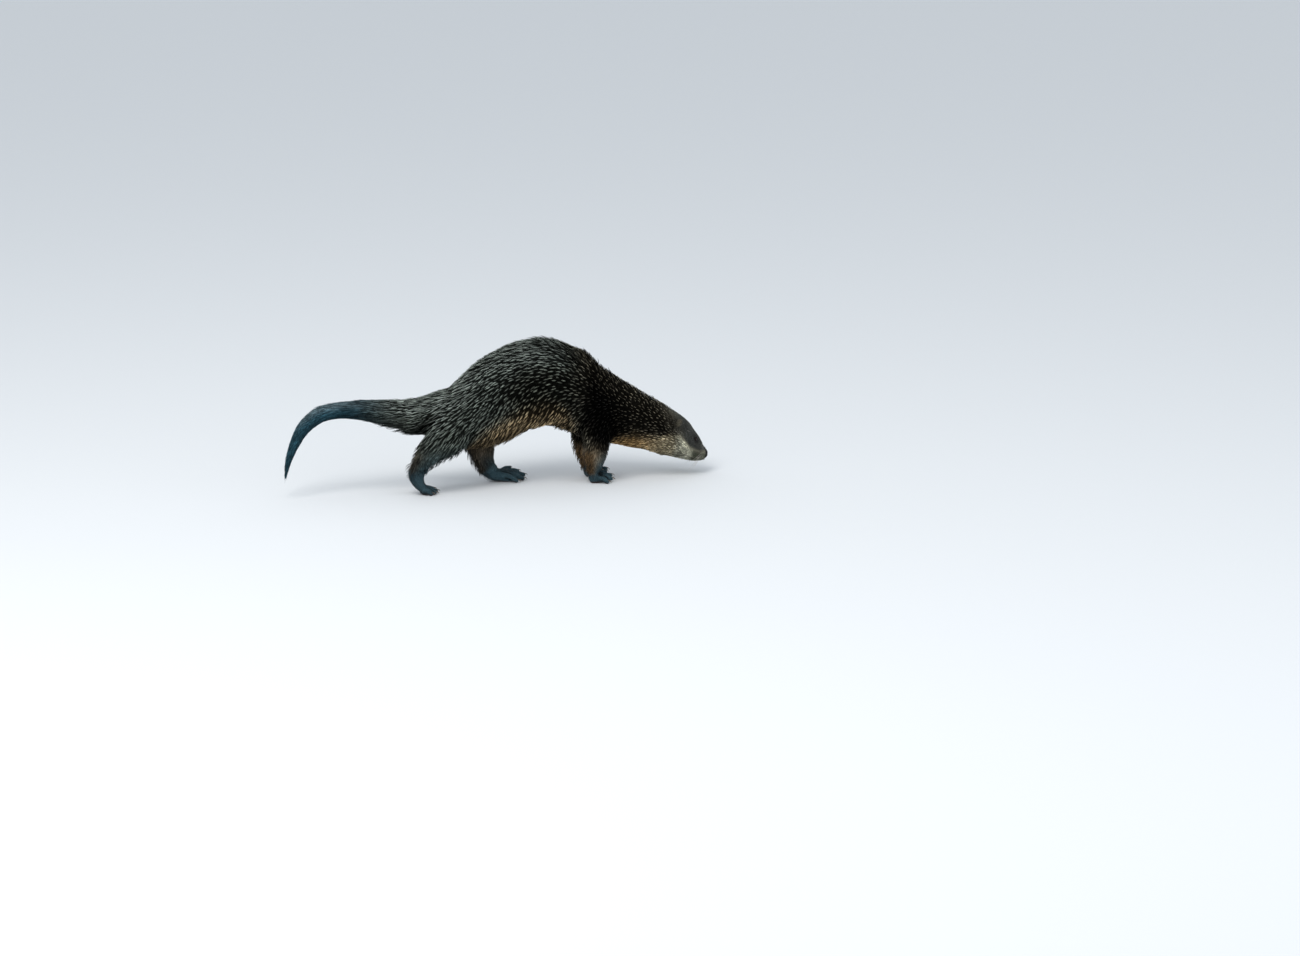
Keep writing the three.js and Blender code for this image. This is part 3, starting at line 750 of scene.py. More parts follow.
# The opening of the eye (half its length and height), its slant and how sharp its edge is, the lids
# round it with the fold that rings them, how deep the skin still belongs to them, how sharply they
# pass into it, and how far under the ball's front the skin lies in the opening.
EYE_OPENING = (5.0 * MM, 3.5 * MM)
EYE_SLANT = 0.12
EYE_EDGE = (0.92, 1.08)
LID_THICKNESS = 0.9 * MM
LID_REACH = 14 * MM
LID_RING = 8.4 * MM
LID_FOLD = 1.5 * MM
LID_FOLD_DEPTH = 0.7 * MM
EYE_FLOOR = 4 * MM
LID_SHARPNESS = 2 / MM
EYE_BED = 2.2 * MM


def eye_reach(skin, eye):
    """How far each vertex is from an eye, 1 on the edge of its opening, and the height over it."""
    middle, out, ahead, up = eye
    off = skin.co - middle
    along, over, high = off @ ahead, off @ up, off @ out
    along, over = along + EYE_SLANT * over, over - EYE_SLANT * along
    long, tall = EYE_OPENING
    return np.hypot(along / long, over / tall), np.hypot(along, over), high


def shape_lids(skin):
    """Raises lids round each eye and sinks the skin behind the ball."""
    skin.near_eye = np.full(len(skin.co), FAR)
    for side in SIDES:
        eye = eye_frame(skin, side)
        reach, away, high = eye_reach(skin, eye)
        here = (high > -EYE_FLOOR) & (away < LID_REACH)
        shell = np.sqrt(np.maximum((EYE_RADIUS + LID_THICKNESS) ** 2 - away**2, 0))
        fold = LID_FOLD_DEPTH * np.exp(-(((away - LID_RING) / LID_FOLD) ** 2))
        raised = np.logaddexp(high * LID_SHARPNESS, shell * LID_SHARPNESS) / LID_SHARPNESS - fold
        raised = np.where(shell > 0, raised, high - fold)
        ball = np.sqrt(np.maximum(EYE_RADIUS**2 - away**2, 0))
        open_share = 1 - rise(*EYE_EDGE, reach)
        target = raised * (1 - open_share) + (ball - EYE_BED) * open_share
        move = np.where(here, target - high, 0)
        skin.co += move[:, None] * eye[1]
        skin.near_eye = np.where(here, np.minimum(skin.near_eye, reach), skin.near_eye)


# The line of the mouth, from its corner to under the nose: x and z (mm) in the side view.
MOUTH = ((421, 46.5), (426, 44), (437, 39), (449, 35.4), (461, 33.2), (476, 32.4))
LIP_FULLNESS = 0.5 * MM
LIP_GROOVE = 1.5 * MM
# How wide the groove and its dark line are, and how far off and wide the lips are (mm).
GROOVE_WIDTH = 0.9
LINE_WIDTH = 1.2
LIP_PLACE = 2.6
LIP_WIDTH = 1.3
# The mouth is on skin that faces out this far, not down.
MOUTH_FACING = (0.35, 0.7)


def mouth_offset(co):
    """How far each place is over the line of the mouth, in millimetres."""
    x, z = side_view(co).T
    line = np.array(MOUTH, float)
    return np.where(x > line[0, 0], z - np.interp(x, *line.T), FAR)


def shape_mouth(skin):
    """Presses the line of the mouth in and rounds the lips beside it."""
    over = mouth_offset(skin.co)
    outer = rise(*MOUTH_FACING, np.hypot(skin.normal[:, 0], skin.normal[:, 1]))
    start = past("mouth_start", side_view(skin.co)[:, 0])
    groove = -LIP_GROOVE * np.exp(-((over / GROOVE_WIDTH) ** 2))
    lips = LIP_FULLNESS * np.exp(-(((np.abs(over) - LIP_PLACE) / LIP_WIDTH) ** 2))
    skin.co += ((groove + lips) * outer * start)[:, None] * skin.normal
    skin.lips = np.exp(-((over / LINE_WIDTH) ** 2)) * outer * start


# Where the skin swells (+) or dips (-): x, y from the middle, z, radius and height (mm).
FOLDS = (
    (452, 15, 44, 8, 1.4),
    (436, 30, 62, 9, 0.8),
    (430, 22, 92, 7, 0.8),
    (405, 40, 75, 16, 1.5),
    (418, 34, 52, 9, 0.8),
    (446, 0, 78, 6, -0.8),
    (404, 0, 128, 16, -1.0),
    (-60, 62, 175, 32, 3.0),
    (-20, 66, 130, 20, -3.0),
    (190, 62, 185, 30, 3.0),
    (232, 56, 150, 18, -2.5),
    (-124, 0, 212, 40, 6.0),
    (198, 0, 292, 16, 4.0),
    (236, 0, 262, 20, -5.0),
    (160, 66, 150, 20, -2.0),
)


def shape_folds(skin):
    """Muscles, folds and hollows that the solids leave out, alike on both sides."""
    for x, y, z, radius, height in FOLDS:
        for sign in (1, -1) if y else (1,):
            place = np.array([x * MM, MIDDLE_Y + sign * y * MM, z * MM])
            away = np.linalg.norm(skin.co - place, axis=1) / (radius * MM)
            skin.co += (height * MM * np.exp(-(away**2)))[:, None] * skin.normal


# The part of a foot furthest from its claws counts as its ankle.
ANKLE_SHARE = 0.75


def digits_of(foot):
    """The ankle of one foot and the roots of its five claws."""
    claws = np.array([welded(f"claw_{foot}_{number}")[0].mean(0) for number in range(1, 6)])
    points = welded(foot)[0]
    away = np.linalg.norm(points - claws.mean(0), axis=1)
    return points[away > np.quantile(away, ANKLE_SHARE)].mean(0), claws


# The grooves between toes: their depth and width, where they start and end, as shares of the way
# from the ankle to the claws, and how far up the skin faces there.
DIGIT_GROOVE = 2.4 * MM
DIGIT_REACH = 1.9 * MM
GROOVE_START = (0.15, 0.4)
GROOVE_END = (0.66, 0.84)
TOE_FACING = (-0.5, 0.2)


def shape_digits(skin):
    """Grooves along each foot between its long toes."""
    skin.webs = np.zeros(len(skin.co))
    for foot in FEET:
        ankle, claws = digits_of(foot)
        rows = np.flatnonzero(skin.solid == FLESH.index(foot))
        at = skin.co[rows]
        away, share = [], []
        for claw in claws:
            run = claw - ankle
            t = np.clip((at - ankle) @ run / (run @ run), 0, 1)
            away.append(np.linalg.norm(at - ankle - t[:, None] * run, axis=1))
            share.append(t)
        order = np.argsort(away, axis=0)
        away, share = np.take_along_axis(np.array([away, share]), np.array([order, order]), 1)
        between = np.exp(-(((away[1] - away[0]) / DIGIT_REACH) ** 2))
        between *= rise(*GROOVE_START, share[0])
        top = rise(*TOE_FACING, skin.normal[rows, 2])
        skin.webs[rows] = between * top
        press = DIGIT_GROOVE * between * top * (1 - rise(*GROOVE_END, share[0]))
        skin.co[rows] -= press[:, None] * skin.normal[rows]


# How much each solid's skin is smoothed, and in how many rounds.
SMOOTH = {
    "body": 1.0,
    "neck": 1.0,
    "face": 0.6,
    "ear": 0.15,
    "leg": 0.9,
    "foot": 0.06,
    "tail": 1.0,
    "tail_end": 0.7,
}
SMOOTH_ROUNDS = 12
# Rounds that blend what each place has with its neighbours'.
SOFT_ROUNDS = 6
SIZE_ROUNDS = 20
LIE_ROUNDS = 12
COLOUR_ROUNDS = 4
# Painted shade: how much darker the grooves between toes are.
GROOVE_SHADE = 0.8
# The skin isn't sunk at the soles: from and to this height over the floor (mm).
SOLE = (0.3, 3.0)
# The skin of the face in front of this gets faces of half the size.
FACE_START = 412 * MM


def build_skin(sizes, coat, paint):
    """The skin from the solids of flesh: joined, smoothed, thinned, sunk and detailed."""
    random = np.random.default_rng(sizes.seed)
    hull = one_hull(FLESH, sizes.voxel)
    x, z = side_view(read(hull.vertices, "co", np.float32, 3)).T
    feet = (1 - past("fine_feet_top", z)) * past("fine_feet_start", x)
    hull = thinned(hull, np.maximum(past("fine_head", x), feet), sizes.thin)
    skin = Skin(refined(hull, face_middles(hull)[:, 0] > FACE_START))
    solid = nearest_solid(skin.co, random)
    soft = np.array([SMOOTH[KIND_OF[node]] for node in FLESH])[solid][:, None]
    skin.co = skin.relaxed(skin.co, SMOOTH_ROUNDS, skin.relaxed(soft, SOFT_ROUNDS))
    skin.fit()
    skin.ragged = ragged_of(skin)
    skin.sizes = skin.relaxed(coat_sizes(skin, solid, coat), SIZE_ROUNDS)
    depth = skin.sizes[:, 0] * rise(*SOLE, skin.co[:, 2] / MM)
    skin.co -= depth[:, None] * skin.normal
    skin.fit()
    skin.solid = solid
    shape_folds(skin)
    shape_digits(skin)
    skin.fit()
    shape_nose_bed(skin)
    shape_mouth(skin)
    shape_lids(skin)
    skin.fit()
    skin.lie = unit(skin.relaxed(lie_of(skin.co, skin.normal), LIE_ROUNDS))
    skin.colour = skin.relaxed(coat_colours(skin.co, skin.normal, solid, paint), COLOUR_ROUNDS)
    # Painted shade in hollows and in the grooves between toes, and painted highlights on ridges.
    skin.colour *= (cavity_shade_and_highlight(skin) * (1 - GROOVE_SHADE * skin.webs))[:, None]
    paint_bare(skin, paint)
    return skin


# Where wet tufts stand out of the coat, in the side view: the ends of a line (x, z), its reach and
# how far they stand out (mm), and the way that the coat faces there.
FRINGES = (
    ((172, 110), (200, 24), 13, 5.0, (-1, -0.2)),
    ((-196, 128), (-216, 52), 15, 6.5, (-1, 0)),
    ((-72, 104), (-172, 70), 16, 7.5, (0.4, -0.9)),
    ((-64, 100), (30, 118), 19, 7.0, (0, -1)),
    ((30, 118), (150, 128), 16, 5.0, (0, -1)),
    ((-66, 84), (-14, 16), 15, 7.0, (-0.8, -0.5)),
    ((110, 318), (250, 246), 22, 5.0, (0.5, 0.8)),
    ((-250, 146), (-186, 130), 15, 8.0, (0, -1)),
)
FRINGE_FACING = (0.15, 0.75)


def ragged_of(skin):
    """How far the coat's tufts may stand out at each place, in metres."""
    at = side_view(skin.co)
    reach = np.zeros(len(at))
    for start, end, width, height, way in FRINGES:
        start, run = np.array(start, float), np.subtract(end, start)
        share = np.clip((at - start) @ run / (run @ run), 0, 1)
        away = np.linalg.norm(at - start - share[:, None] * run, axis=1)
        facing = rise(*FRINGE_FACING, skin.normal[:, [0, 2]] @ unit(np.array(way, float)))
        reach = np.maximum(reach, height * MM * facing * np.exp(-((away / width) ** 2)))
    return reach


# How far round a place counts for its painted shade, how deep a hollow is dark, and how much darker
# hollows are, and what share of that ridges are lighter, as a painted highlight.
CAVITY_ROUNDS = 26
CAVITY_DEPTH = 0.7 * MM
CAVITY_SHADE = 0.7
RIDGE_HIGHLIGHT_SHARE = 0.4


def cavity_shade_and_highlight(skin):
    """Painted shade between toes, in folds and under lids, and painted highlights on knuckles and
    edges.
    """
    off = ((skin.relaxed(skin.co, CAVITY_ROUNDS) - skin.co) * skin.normal).sum(1)
    return 1 - CAVITY_SHADE * np.tanh(off / CAVITY_DEPTH) * np.where(off > 0, 1, RIDGE_HIGHLIGHT_SHARE)


# The bare lids end here, as shares of the eye's opening, with the dark rim and the shadow round
# them.
LID_EDGE = 1.5
LID_RIM = (1.15, 1.75)
EYE_SHADOW_REACH = (1.2, 2.8)
EYE_SHADOW = 0.4
# How far from the nose pad (mm) the skin rises to it, is bare, and has dark hair.
NOSE_REACH = 12 * MM
NOSE_BED = (1.5, 7)
NOSE_RIM = (0.9, 2.5)
NOSE_SMUDGE = (2.0, 7.5)
SMUDGE_SHADE = 0.85
LIP_SHADE = 0.85
# The bare soles: the height where they end (mm), and how far they face down.
PAD_HEIGHT = (1.5, 6)
PAD_FACING = (0.2, 0.7)


def near_nose(skin, low, high):
    """1 within low of the nose pad, 0 past high (mm) and smooth between."""
    pad, _ = welded("nose_pad")
    ahead = np.flatnonzero(skin.co[:, 0] > pad[:, 0].min() - NOSE_REACH)
    away = np.linalg.norm(skin.co[ahead][:, None] - pad[None], axis=2).min(1)
    near = np.zeros(len(skin.co))
    near[ahead] = 1 - rise(low, high, away / MM)
    return near


# How far the skin rises at the nose pad.
NOSE_SWELL = 1.5 * MM


def shape_nose_bed(skin):
    """Brings the skin up to the edge of the nose pad."""
    skin.co += (NOSE_SWELL * near_nose(skin, *NOSE_BED))[:, None] * skin.normal


def paint_bare(skin, paint):
    """Marks the bare skin of lids, lips, nose and soles, and colours it."""
    skin.colour *= (1 - EYE_SHADOW * (1 - rise(*EYE_SHADOW_REACH, skin.near_eye)))[:, None]
    rim = 1 - rise(*LID_RIM, skin.near_eye)
    nose = near_nose(skin, *NOSE_RIM)
    sole = 1 - rise(*PAD_HEIGHT, skin.co[:, 2] / MM)
    sole *= rise(*PAD_FACING, -skin.normal[:, 2])
    smudge = SMUDGE_SHADE * near_nose(skin, *NOSE_SMUDGE)
    dark = np.maximum.reduce([rim, skin.lips * LIP_SHADE, nose, smudge])[:, None]
    skin.colour = skin.colour * (1 - dark) + np.array(paint.nose) * dark
    skin.colour = skin.colour * (1 - sole[:, None]) + np.array(paint.pad) * sole[:, None]
    edges = [skin.near_eye < LID_EDGE, skin.lips > 0.5, nose > 0.5]
    skin.bare = np.maximum.reduce([*edges, sole]).astype(float)


UNWRAP_ANGLE = math.radians(70)
UNWRAP_MARGIN = 0.001


def unwrap(obj):
    """Unwraps the skin's own shape into the map that its coat shares."""
    obj.data.uv_layers.new(name="OFBake")
    bpy.context.view_layer.objects.active = obj
    obj.select_set(True)
    bpy.ops.object.mode_set(mode="EDIT")
    bpy.ops.mesh.select_all(action="SELECT")
    bpy.ops.uv.smart_project(angle_limit=UNWRAP_ANGLE, island_margin=UNWRAP_MARGIN)
    bpy.ops.object.mode_set(mode="OBJECT")
    obj.select_set(False)


# ---- The coat ----
# The painted highlight on a tuft's tip, how far its strands draw together on the way there and how
# late, how much lower and, by painted shade, darker its outer strands are, and how far a strand's
# edges lie under its ridge.
TIP_HIGHLIGHT = 0.9
MEET = 0.8
MEET_LATE = 1.5
CROWN = 1.5
EDGE_DROP = 0.15


def clump(strands, *rings):
    """The corners and triangles of one tuft: strands side by side at the root that meet at the tip.
    Each ring gives its place along the tuft, half of a strand's width, the height of its ridge, its
    rise, and the tones of its edges and its ridge: painted shade on the edges, a painted highlight
    on the ridge."""
    corners, faces = [], []
    for number in range(strands):
        offset = (number + 0.5) / strands - 0.5
        crown = 1 - (CROWN * offset) ** 2
        first = len(corners)
        faces.append((first, first + 2, first + 1))
        for along, half, ridge, lift, edge, top in rings:
            at = offset * (1 - MEET * along**MEET_LATE)
            high = ridge * (crown - 1 + 1 / strands)
            low = high - EDGE_DROP * ridge
            peak = high + ridge / strands
            for side, up, tone in ((-1, low, edge), (1, low, edge), (0, peak, top)):
                corners.append((along, at + side * half / strands, up, lift, tone * crown, number))
        for ring in range(first, len(corners) - 3, 3):
            for a, b in ((0, 1), (1, 2), (2, 0)):
                a, b = ring + a, ring + b
                faces += [(a, b, b + 3), (a, b + 3, a + 3)]
        tip = len(corners)
        faces += [(tip - 3, tip - 2, tip), (tip - 2, tip - 1, tip), (tip - 1, tip - 3, tip)]
        corners.append((1, offset * (1 - MEET), 0, 1, TIP_HIGHLIGHT * crown, number))
    return np.array(corners).T, np.array(faces)


# The size of a tuft's patch in the map, and the most triangles in one piece of coat.
PATCH = 0.003
PIECE_TRIANGLES = 190000

# Tufts from this width up are of the over layer, and slimmer ones of the short layer.
BROAD_TUFT = 2.5 * MM


class Layer:
    """A layer of the coat: the shape of its tufts, the widths and the least contrast that they grow
    with, their greatest spacing, and shares of the full spacing, length, width, height and tone."""

    def __init__(
        self, shape, widths, contrast=0, limit=1, spacing=1, length=1, width=1, height=1, tone=1
    ):
        self.corners, self.triangles = shape
        self.widths, self.contrast, self.limit = widths, contrast, limit
        self.spacing, self.length, self.width = spacing, length, width
        self.height, self.tone = height, tone


LAYERS = {
    # The under layer's low tone is painted shade in the gaps between the over tufts.
    "under": Layer(
        clump(1, (0, 0.4, 0.1, -0.06, 0.1, 0.2), (0.45, 0.5, 0.3, 0.62, 0.2, 0.8)),
        widths=(0, 1),
        contrast=0.66,
        limit=3 * MM,
        spacing=0.62,
        length=0.85,
        width=0.42,
        height=0.62,
        tone=0.035,
    ),
    "over": Layer(
        clump(
            6,
            (0, 0.55, 0.1, -0.1, 0.02, 0.06),
            (0.35, 0.6, 0.34, 0.55, 0.1, 0.62),
            (0.7, 0.45, 0.22, 0.88, 0.2, 1),
        ),
        widths=(BROAD_TUFT, 1),
    ),
    "short": Layer(
        clump(2, (0, 0.5, 0.1, -0.1, 0.1, 0.3), (0.5, 0.55, 0.3, 0.7, 0.3, 0.9)),
        widths=(0, BROAD_TUFT),
    ),
}

# Tufts keep apart by their spacing, more along the lie of the coat than across it.
APART_ALONG = 1.4
APART_ACROSS = 0.78


def apart(place, way, spacing):
    """The rows that stay when no place may be too near another."""
    tree = tree_of(place)
    free = np.ones(len(place), bool)
    keep = []
    for row, at in enumerate(place):
        if free[row]:
            keep.append(row)
            found = tree.find_range(at, spacing[row] * APART_ALONG)
            near = np.array([other for _, other, _ in found])
            off = place[near] - at
            along = (off @ way[row]) ** 2
            across = (off**2).sum(1) - along
            apart_by = along / APART_ALONG**2 + across / APART_ACROSS**2
            free[near[apart_by < spacing[row] ** 2]] = False
    return np.array(keep)


# How many places are tried for each tuft that fits, and the cells across the model that under tufts
# are spread over.
TRIES = 3.5
CELLS = 4001


class Roots:
    """Places on the skin where tufts grow, spread evenly at each place's own spacing."""

    def __init__(self, skin, layer, random):
        kind = LAYERS[layer]
        mesh = skin.mesh
        corners = read(mesh.loops, "vertex_index", np.int32, 1).reshape(-1, 3)
        uv = read(mesh.uv_layers["OFBake"].uv, "vector", np.float32, 2).reshape(-1, 3, 2)
        a, b, c = (skin.co[corners[:, i]] for i in range(3))
        area = np.linalg.norm(np.cross(b - a, c - a), axis=1) / 2
        spacing = np.minimum(skin.sizes[:, 3] * kind.spacing, kind.limit)
        crowd = area / spacing[corners].mean(1) ** 2
        crowd *= skin.bare[corners].mean(1) < 0.5
        width, least = skin.sizes[corners][:, :, [2, 4]].mean(1).T
        slim, broad = kind.widths
        crowd *= (width >= slim) & (width < broad) & (least >= kind.contrast)
        count = int(crowd.sum() * TRIES)
        pick = random.choice(len(corners), count, p=crowd / crowd.sum())
        u, v = in_triangle(random, count)
        self.share = np.c_[1 - u - v, u, v]
        self.corner = corners[pick]
        self.uv = (uv[pick] * self.share[:, :, None]).sum(1)
        self.place = self.of(skin.co)
        reach = self.of(spacing[:, None])
        if layer != "under":
            keep = apart(self.place, unit(self.of(skin.lie)), reach[:, 0])
        else:
            cell = np.floor(self.place / reach).astype(np.int64)
            key = (cell[:, 0] * CELLS + cell[:, 1]) * CELLS + cell[:, 2]
            keep = np.sort(np.unique(key, return_index=True)[1])
        self.share, self.corner = self.share[keep], self.corner[keep]
        self.uv, self.place = self.uv[keep], self.place[keep]

    def of(self, rows):
        """Values of the skin's vertices at the roots."""
        return (rows[self.corner] * self.share[:, :, None]).sum(1)


# How far strands sway, and how their tones and lengths vary.
STRAND_SWAY = 0.07
STRAND_VARIETY = 0.28
STRAND_GLOW = (0.5, 1.5)
STRAND_REACH = (0.72, 1.08)
# How tufts vary in length, width, height and tone.
TUFT_LENGTH = (0.75, 1.2)
TUFT_WIDTH = (0.75, 1.25)
TUFT_HEIGHT = (0.6, 1.1)
TUFT_TONE = (0.4, 1.7)
# Share of the tufts that stray, and of those that stand out on a fringe, how far these and the
# others do, as shares, how much darker such standing tufts are, and how far out (mm) they are so.
STRAY_SHARE = 0.2
FRINGE_SHARE = 0.4
FRINGE_STAND = (0.5, 1.1)
FRINGE_REST = 0.12
FRINGE_SHADE = 0.66
FRINGE_DARKENING = (0.4, 2.5)
# How much of its colour a tuft of a shaded layer loses to painted shade, for its contrast.
SHADED = 1.1


def tufts(skin, roots, layer, coat, random):
    """Corner points, and what each one carries, of one tuft for every root."""
    kind = LAYERS[layer]
    along, across, ridge, lift, tone, strand = kind.corners
    strand = strand.astype(int)
    depth, length, width, _, contrast = roots.of(skin.sizes).T
    count = len(depth)
    out = unit(roots.of(skin.normal))
    way = roots.of(skin.lie)
    way = unit(way - out * (way * out).sum(1, keepdims=True))
    side = np.cross(out, way)
    turn = random.normal(0, coat.ruffle, count)[:, None]
    way, side = way * np.cos(turn) + side * np.sin(turn), side * np.cos(turn) - way * np.sin(turn)
    length = length * kind.length * random.uniform(*TUFT_LENGTH, count)
    width = width * kind.width * random.uniform(*TUFT_WIDTH, count)
    height = depth * kind.height * random.uniform(*TUFT_HEIGHT, count)
    on_fringe = random.random(count) < FRINGE_SHARE
    stands = np.where(on_fringe, random.uniform(*FRINGE_STAND, count), FRINGE_REST)
    ragged = roots.of(skin.ragged[:, None])[:, 0] * stands
    # Tufts that stand further out on a fringe are darker.
    wet = 1 - FRINGE_SHADE * rise(*FRINGE_DARKENING, ragged / MM)
    ragged += coat.stray * contrast * (random.random(count) < STRAY_SHARE)
    length = length + ragged
    height = height + ragged
    each = (count, strand[-1] + 1)
    reach = random.uniform(*STRAND_REACH, each)[:, strand]
    sway = random.normal(0, STRAND_SWAY, each)[:, strand] * along
    glow = np.exp(random.normal(0, STRAND_VARIETY, each)).clip(*STRAND_GLOW)[:, strand]
    points = (
        roots.place[:, None]
        + way[:, None] * (length[:, None] * along * reach)[:, :, None]
        + side[:, None] * (width[:, None] * (across + sway))[:, :, None]
        + out[:, None] * (height[:, None] * lift + width[:, None] * ridge)[:, :, None]
    )
    own = np.exp(random.normal(0, coat.variety, count)).clip(*TUFT_TONE) * wet
    # Painted shade darkens shaded layers; each tuft runs from painted shade at root and edges to a
    # painted highlight on ridge and tip.
    own *= 1 - np.clip(contrast * SHADED, 0, 1) * (1 - kind.tone)
    shade = 1 - contrast[:, None] * (1 - tone)
    colour = (roots.of(skin.colour) * own[:, None])[:, None] * (shade * glow)[:, :, None]
    number = np.repeat(random.random(count)[:, None], len(along), 1)
    hair = np.stack([np.tile(along, (count, 1)), np.tile(across, (count, 1)), number], 2)
    spread = np.c_[across, along - 0.5] * PATCH
    return points, colour, hair, roots.uv[:, None] + spread


# The height over the floor that the coat keeps.
FLOOR_CLEARANCE = 0.2 * MM


def coat_piece(name, made, triangles, material):
    """One piece of coat from rows of tufts."""
    count, corners = made[0].shape[:2]
    points, colour, strand, uv = (rows.reshape(-1, rows.shape[-1]) for rows in made)
    points[:, 2] = np.maximum(points[:, 2], FLOOR_CLEARANCE)
    faces = (triangles[None] + corners * np.arange(count)[:, None, None]).reshape(-1, 3)
    mesh = mesh_of(name, points, faces)
    set_values(mesh, "coat_colour", "FLOAT_COLOR", colour)
    set_values(mesh, "strand", "FLOAT_VECTOR", strand)
    layer = mesh.uv_layers.new(name="OFBake", do_init=False)
    layer.uv.foreach_set("vector", uv[faces.ravel()].astype(np.float32).ravel())
    finish_piece(new_object(name, mesh, material))


# The pieces of the coat, with the solids that each one grows on.
GROUPS = {
    "tail": ("tail_tip", "tail_middle", "tail_base"),
    "rump": ("rump",),
    "loin": ("loin",),
    "chest": ("chest",),
    "neck": ("neck",),
    "head": ("head", "lower_jaw", *EARS),
    "forelegs": LEGS[:2],
    "hindlegs": LEGS[2:],
    "feet": FEET,
}


def grow_coat(skin, coat, materials):
    """All pieces of the coat, a region and a layer at a time."""
    random = np.random.default_rng(coat.seed)
    group_of = {node: group for group, nodes in GROUPS.items() for node in nodes}
    groups = list(GROUPS)
    region = np.array([groups.index(group_of[node]) for node in FLESH])[skin.solid]
    for layer, kind in LAYERS.items():
        roots = Roots(skin, layer, random)
        made = tufts(skin, roots, layer, coat, random)
        where = region[roots.corner[:, 0]]
        for number, group in enumerate(groups):
            rows = np.flatnonzero(where == number)
            if not len(rows):
                continue
            parts = -(-len(rows) * len(kind.triangles) // PIECE_TRIANGLES)
            for part, chosen in enumerate(np.array_split(rows, parts)):
                name = f"coat_{group}_{layer}" + (f"_{part + 1}" if parts > 1 else "")
                piece = [values[chosen] for values in made]
                material = materials.get(group, materials[layer])
                coat_piece(name, piece, kind.triangles, material)


# ---- Finishes ----
# How often streaks change along a strand, across it and from tuft to tuft.
STREAKS = (1.6, 24, 40)


def toned(colour, share):
    """A darker or lighter tone of a colour."""
    return [part * share for part in colour]


def coat_finish(name, rough, gloss):
    """Tufts, streaked along each strand."""
    shader = Shader(name)
    strand = shader.attribute("strand", "Vector")
    stretch = shader.node("ShaderNodeMapping")
    stretch.inputs["Scale"].default_value = STREAKS
    shader.link(strand, stretch.inputs["Vector"])
    streak = shader.ramp(shader.noise(stretch.outputs["Vector"], 1.6), (0.32, 0.45), (0.68, 1.0))
    shader.paint(shader.times(shader.attribute("coat_colour"), streak))
    shader.bump(streak, 0.3 * MM, 0.5)
    shader.set(Roughness=rough, Specular_IOR_Level=gloss)
    return shader.material


def skin_finish():
    """The skin under the coat, with the coat's markings darkened by painted shade, and fine short
    hair.
    """
    shader = Shader("otter_skin")
    fine = shader.noise(shader.place(), 900, 4)
    broad = shader.noise(shader.place(), 60, 3)
    hairs = shader.ramp(fine, (0.3, 0.45), (0.75, 0.95))
    patches = shader.ramp(broad, (0.3, 0.8), (0.7, 1.0))
    tone = shader.times(hairs, patches)
    shader.paint(shader.times(shader.attribute("coat_colour"), tone))
    shader.bump(fine, 0.5 * MM, 0.7)
    shader.set(Roughness=0.5, Specular_IOR_Level=0.03)
    return shader.material


def nose_finish(colour):
    """Moist black leather in small pebbles."""
    shader = Shader("otter_nose")
    cells = shader.node("ShaderNodeTexVoronoi")
    cells.inputs["Scale"].default_value = 1100
    shader.link(shader.place(), cells.inputs["Vector"])
    pebbles = shader.ramp(cells.outputs["Distance"], (0.0, 1.0), (0.8, 0.1))
    mottle = shader.noise(shader.place(), 260)
    leather = shader.blend(mottle, toned(colour, 0.6), toned(colour, 1.7))
    shader.paint(leather)
    shader.bump(pebbles, 0.25 * MM, 0.6)
    shader.set(Roughness=0.5, Specular_IOR_Level=0.1)
    return shader.material


def eye_finish(colour):
    """A wet dark eye: brown iris fading to a black pupil, under a clear coat."""
    shader = Shader("otter_eye")
    iris = shader.attribute("gaze", "Fac")
    flecks = shader.noise(shader.place(), 1400)
    brown = shader.blend(flecks, toned(colour, 0.4), toned(colour, 1.2))
    ring = shader.ramp(iris, (0.86, 1.0), (0.93, 0.0))
    shader.paint(shader.times(brown, ring))
    shader.set(Roughness=0.08, Specular_IOR_Level=0.12, Coat_Weight=0.06, Coat_Roughness=0.03)
    return shader.material


def claw_finish(colour):
    """Dark horn with growth lines, paler at the point."""
    shader = Shader("otter_claw")
    horn = shader.blend(shader.along(), toned(colour, 0.4), toned(colour, 1.8))
    lines = shader.noise(shader.place((1, 1, 4)), 900)
    shader.paint(shader.times(horn, shader.ramp(lines, (0.3, 0.6), (0.7, 1.0))))
    shader.bump(lines, 0.08 * MM, 0.4)
    shader.set(Roughness=0.3)
    return shader.material


def whisker_finish(colour):
    """Stiff pale bristles, browner at the root."""
    shader = Shader("otter_whisker")
    shader.paint(shader.blend(shader.along(), toned(colour, 0.35), colour))
    shader.set(Roughness=0.4)
    return shader.material


# ---- Eyes, nose, claws and whiskers ----
# How far the eyes turn to the front.
GAZE_AHEAD = 0.25


def make_eye(skin, side, material):
    """A smooth wet eyeball in its socket, the pupil facing out."""
    middle, out, _, _ = eye_frame(skin, side)
    made = bmesh.new()
    bmesh.ops.create_uvsphere(made, u_segments=40, v_segments=28, radius=EYE_RADIUS)
    mesh = bpy.data.meshes.new(f"eyeball_{side}")
    made.to_mesh(mesh)
    made.free()
    co = read(mesh.vertices, "co", np.float32, 3)
    ahead = middle_of("nose_pad") - middle
    gaze = unit(out + GAZE_AHEAD * unit(ahead))
    turn = Vector((0, 0, 1)).rotation_difference(Vector(gaze)).to_matrix()
    set_values(mesh, "gaze", "FLOAT", co[:, 2] / EYE_RADIUS)
    co = co @ np.array(turn).T + middle
    mesh.vertices.foreach_set("co", co.astype(np.float32).ravel())
    mesh.update()
    finish_piece(new_object(f"eyeball_{side}", mesh, material), [f"eye_{side}"])


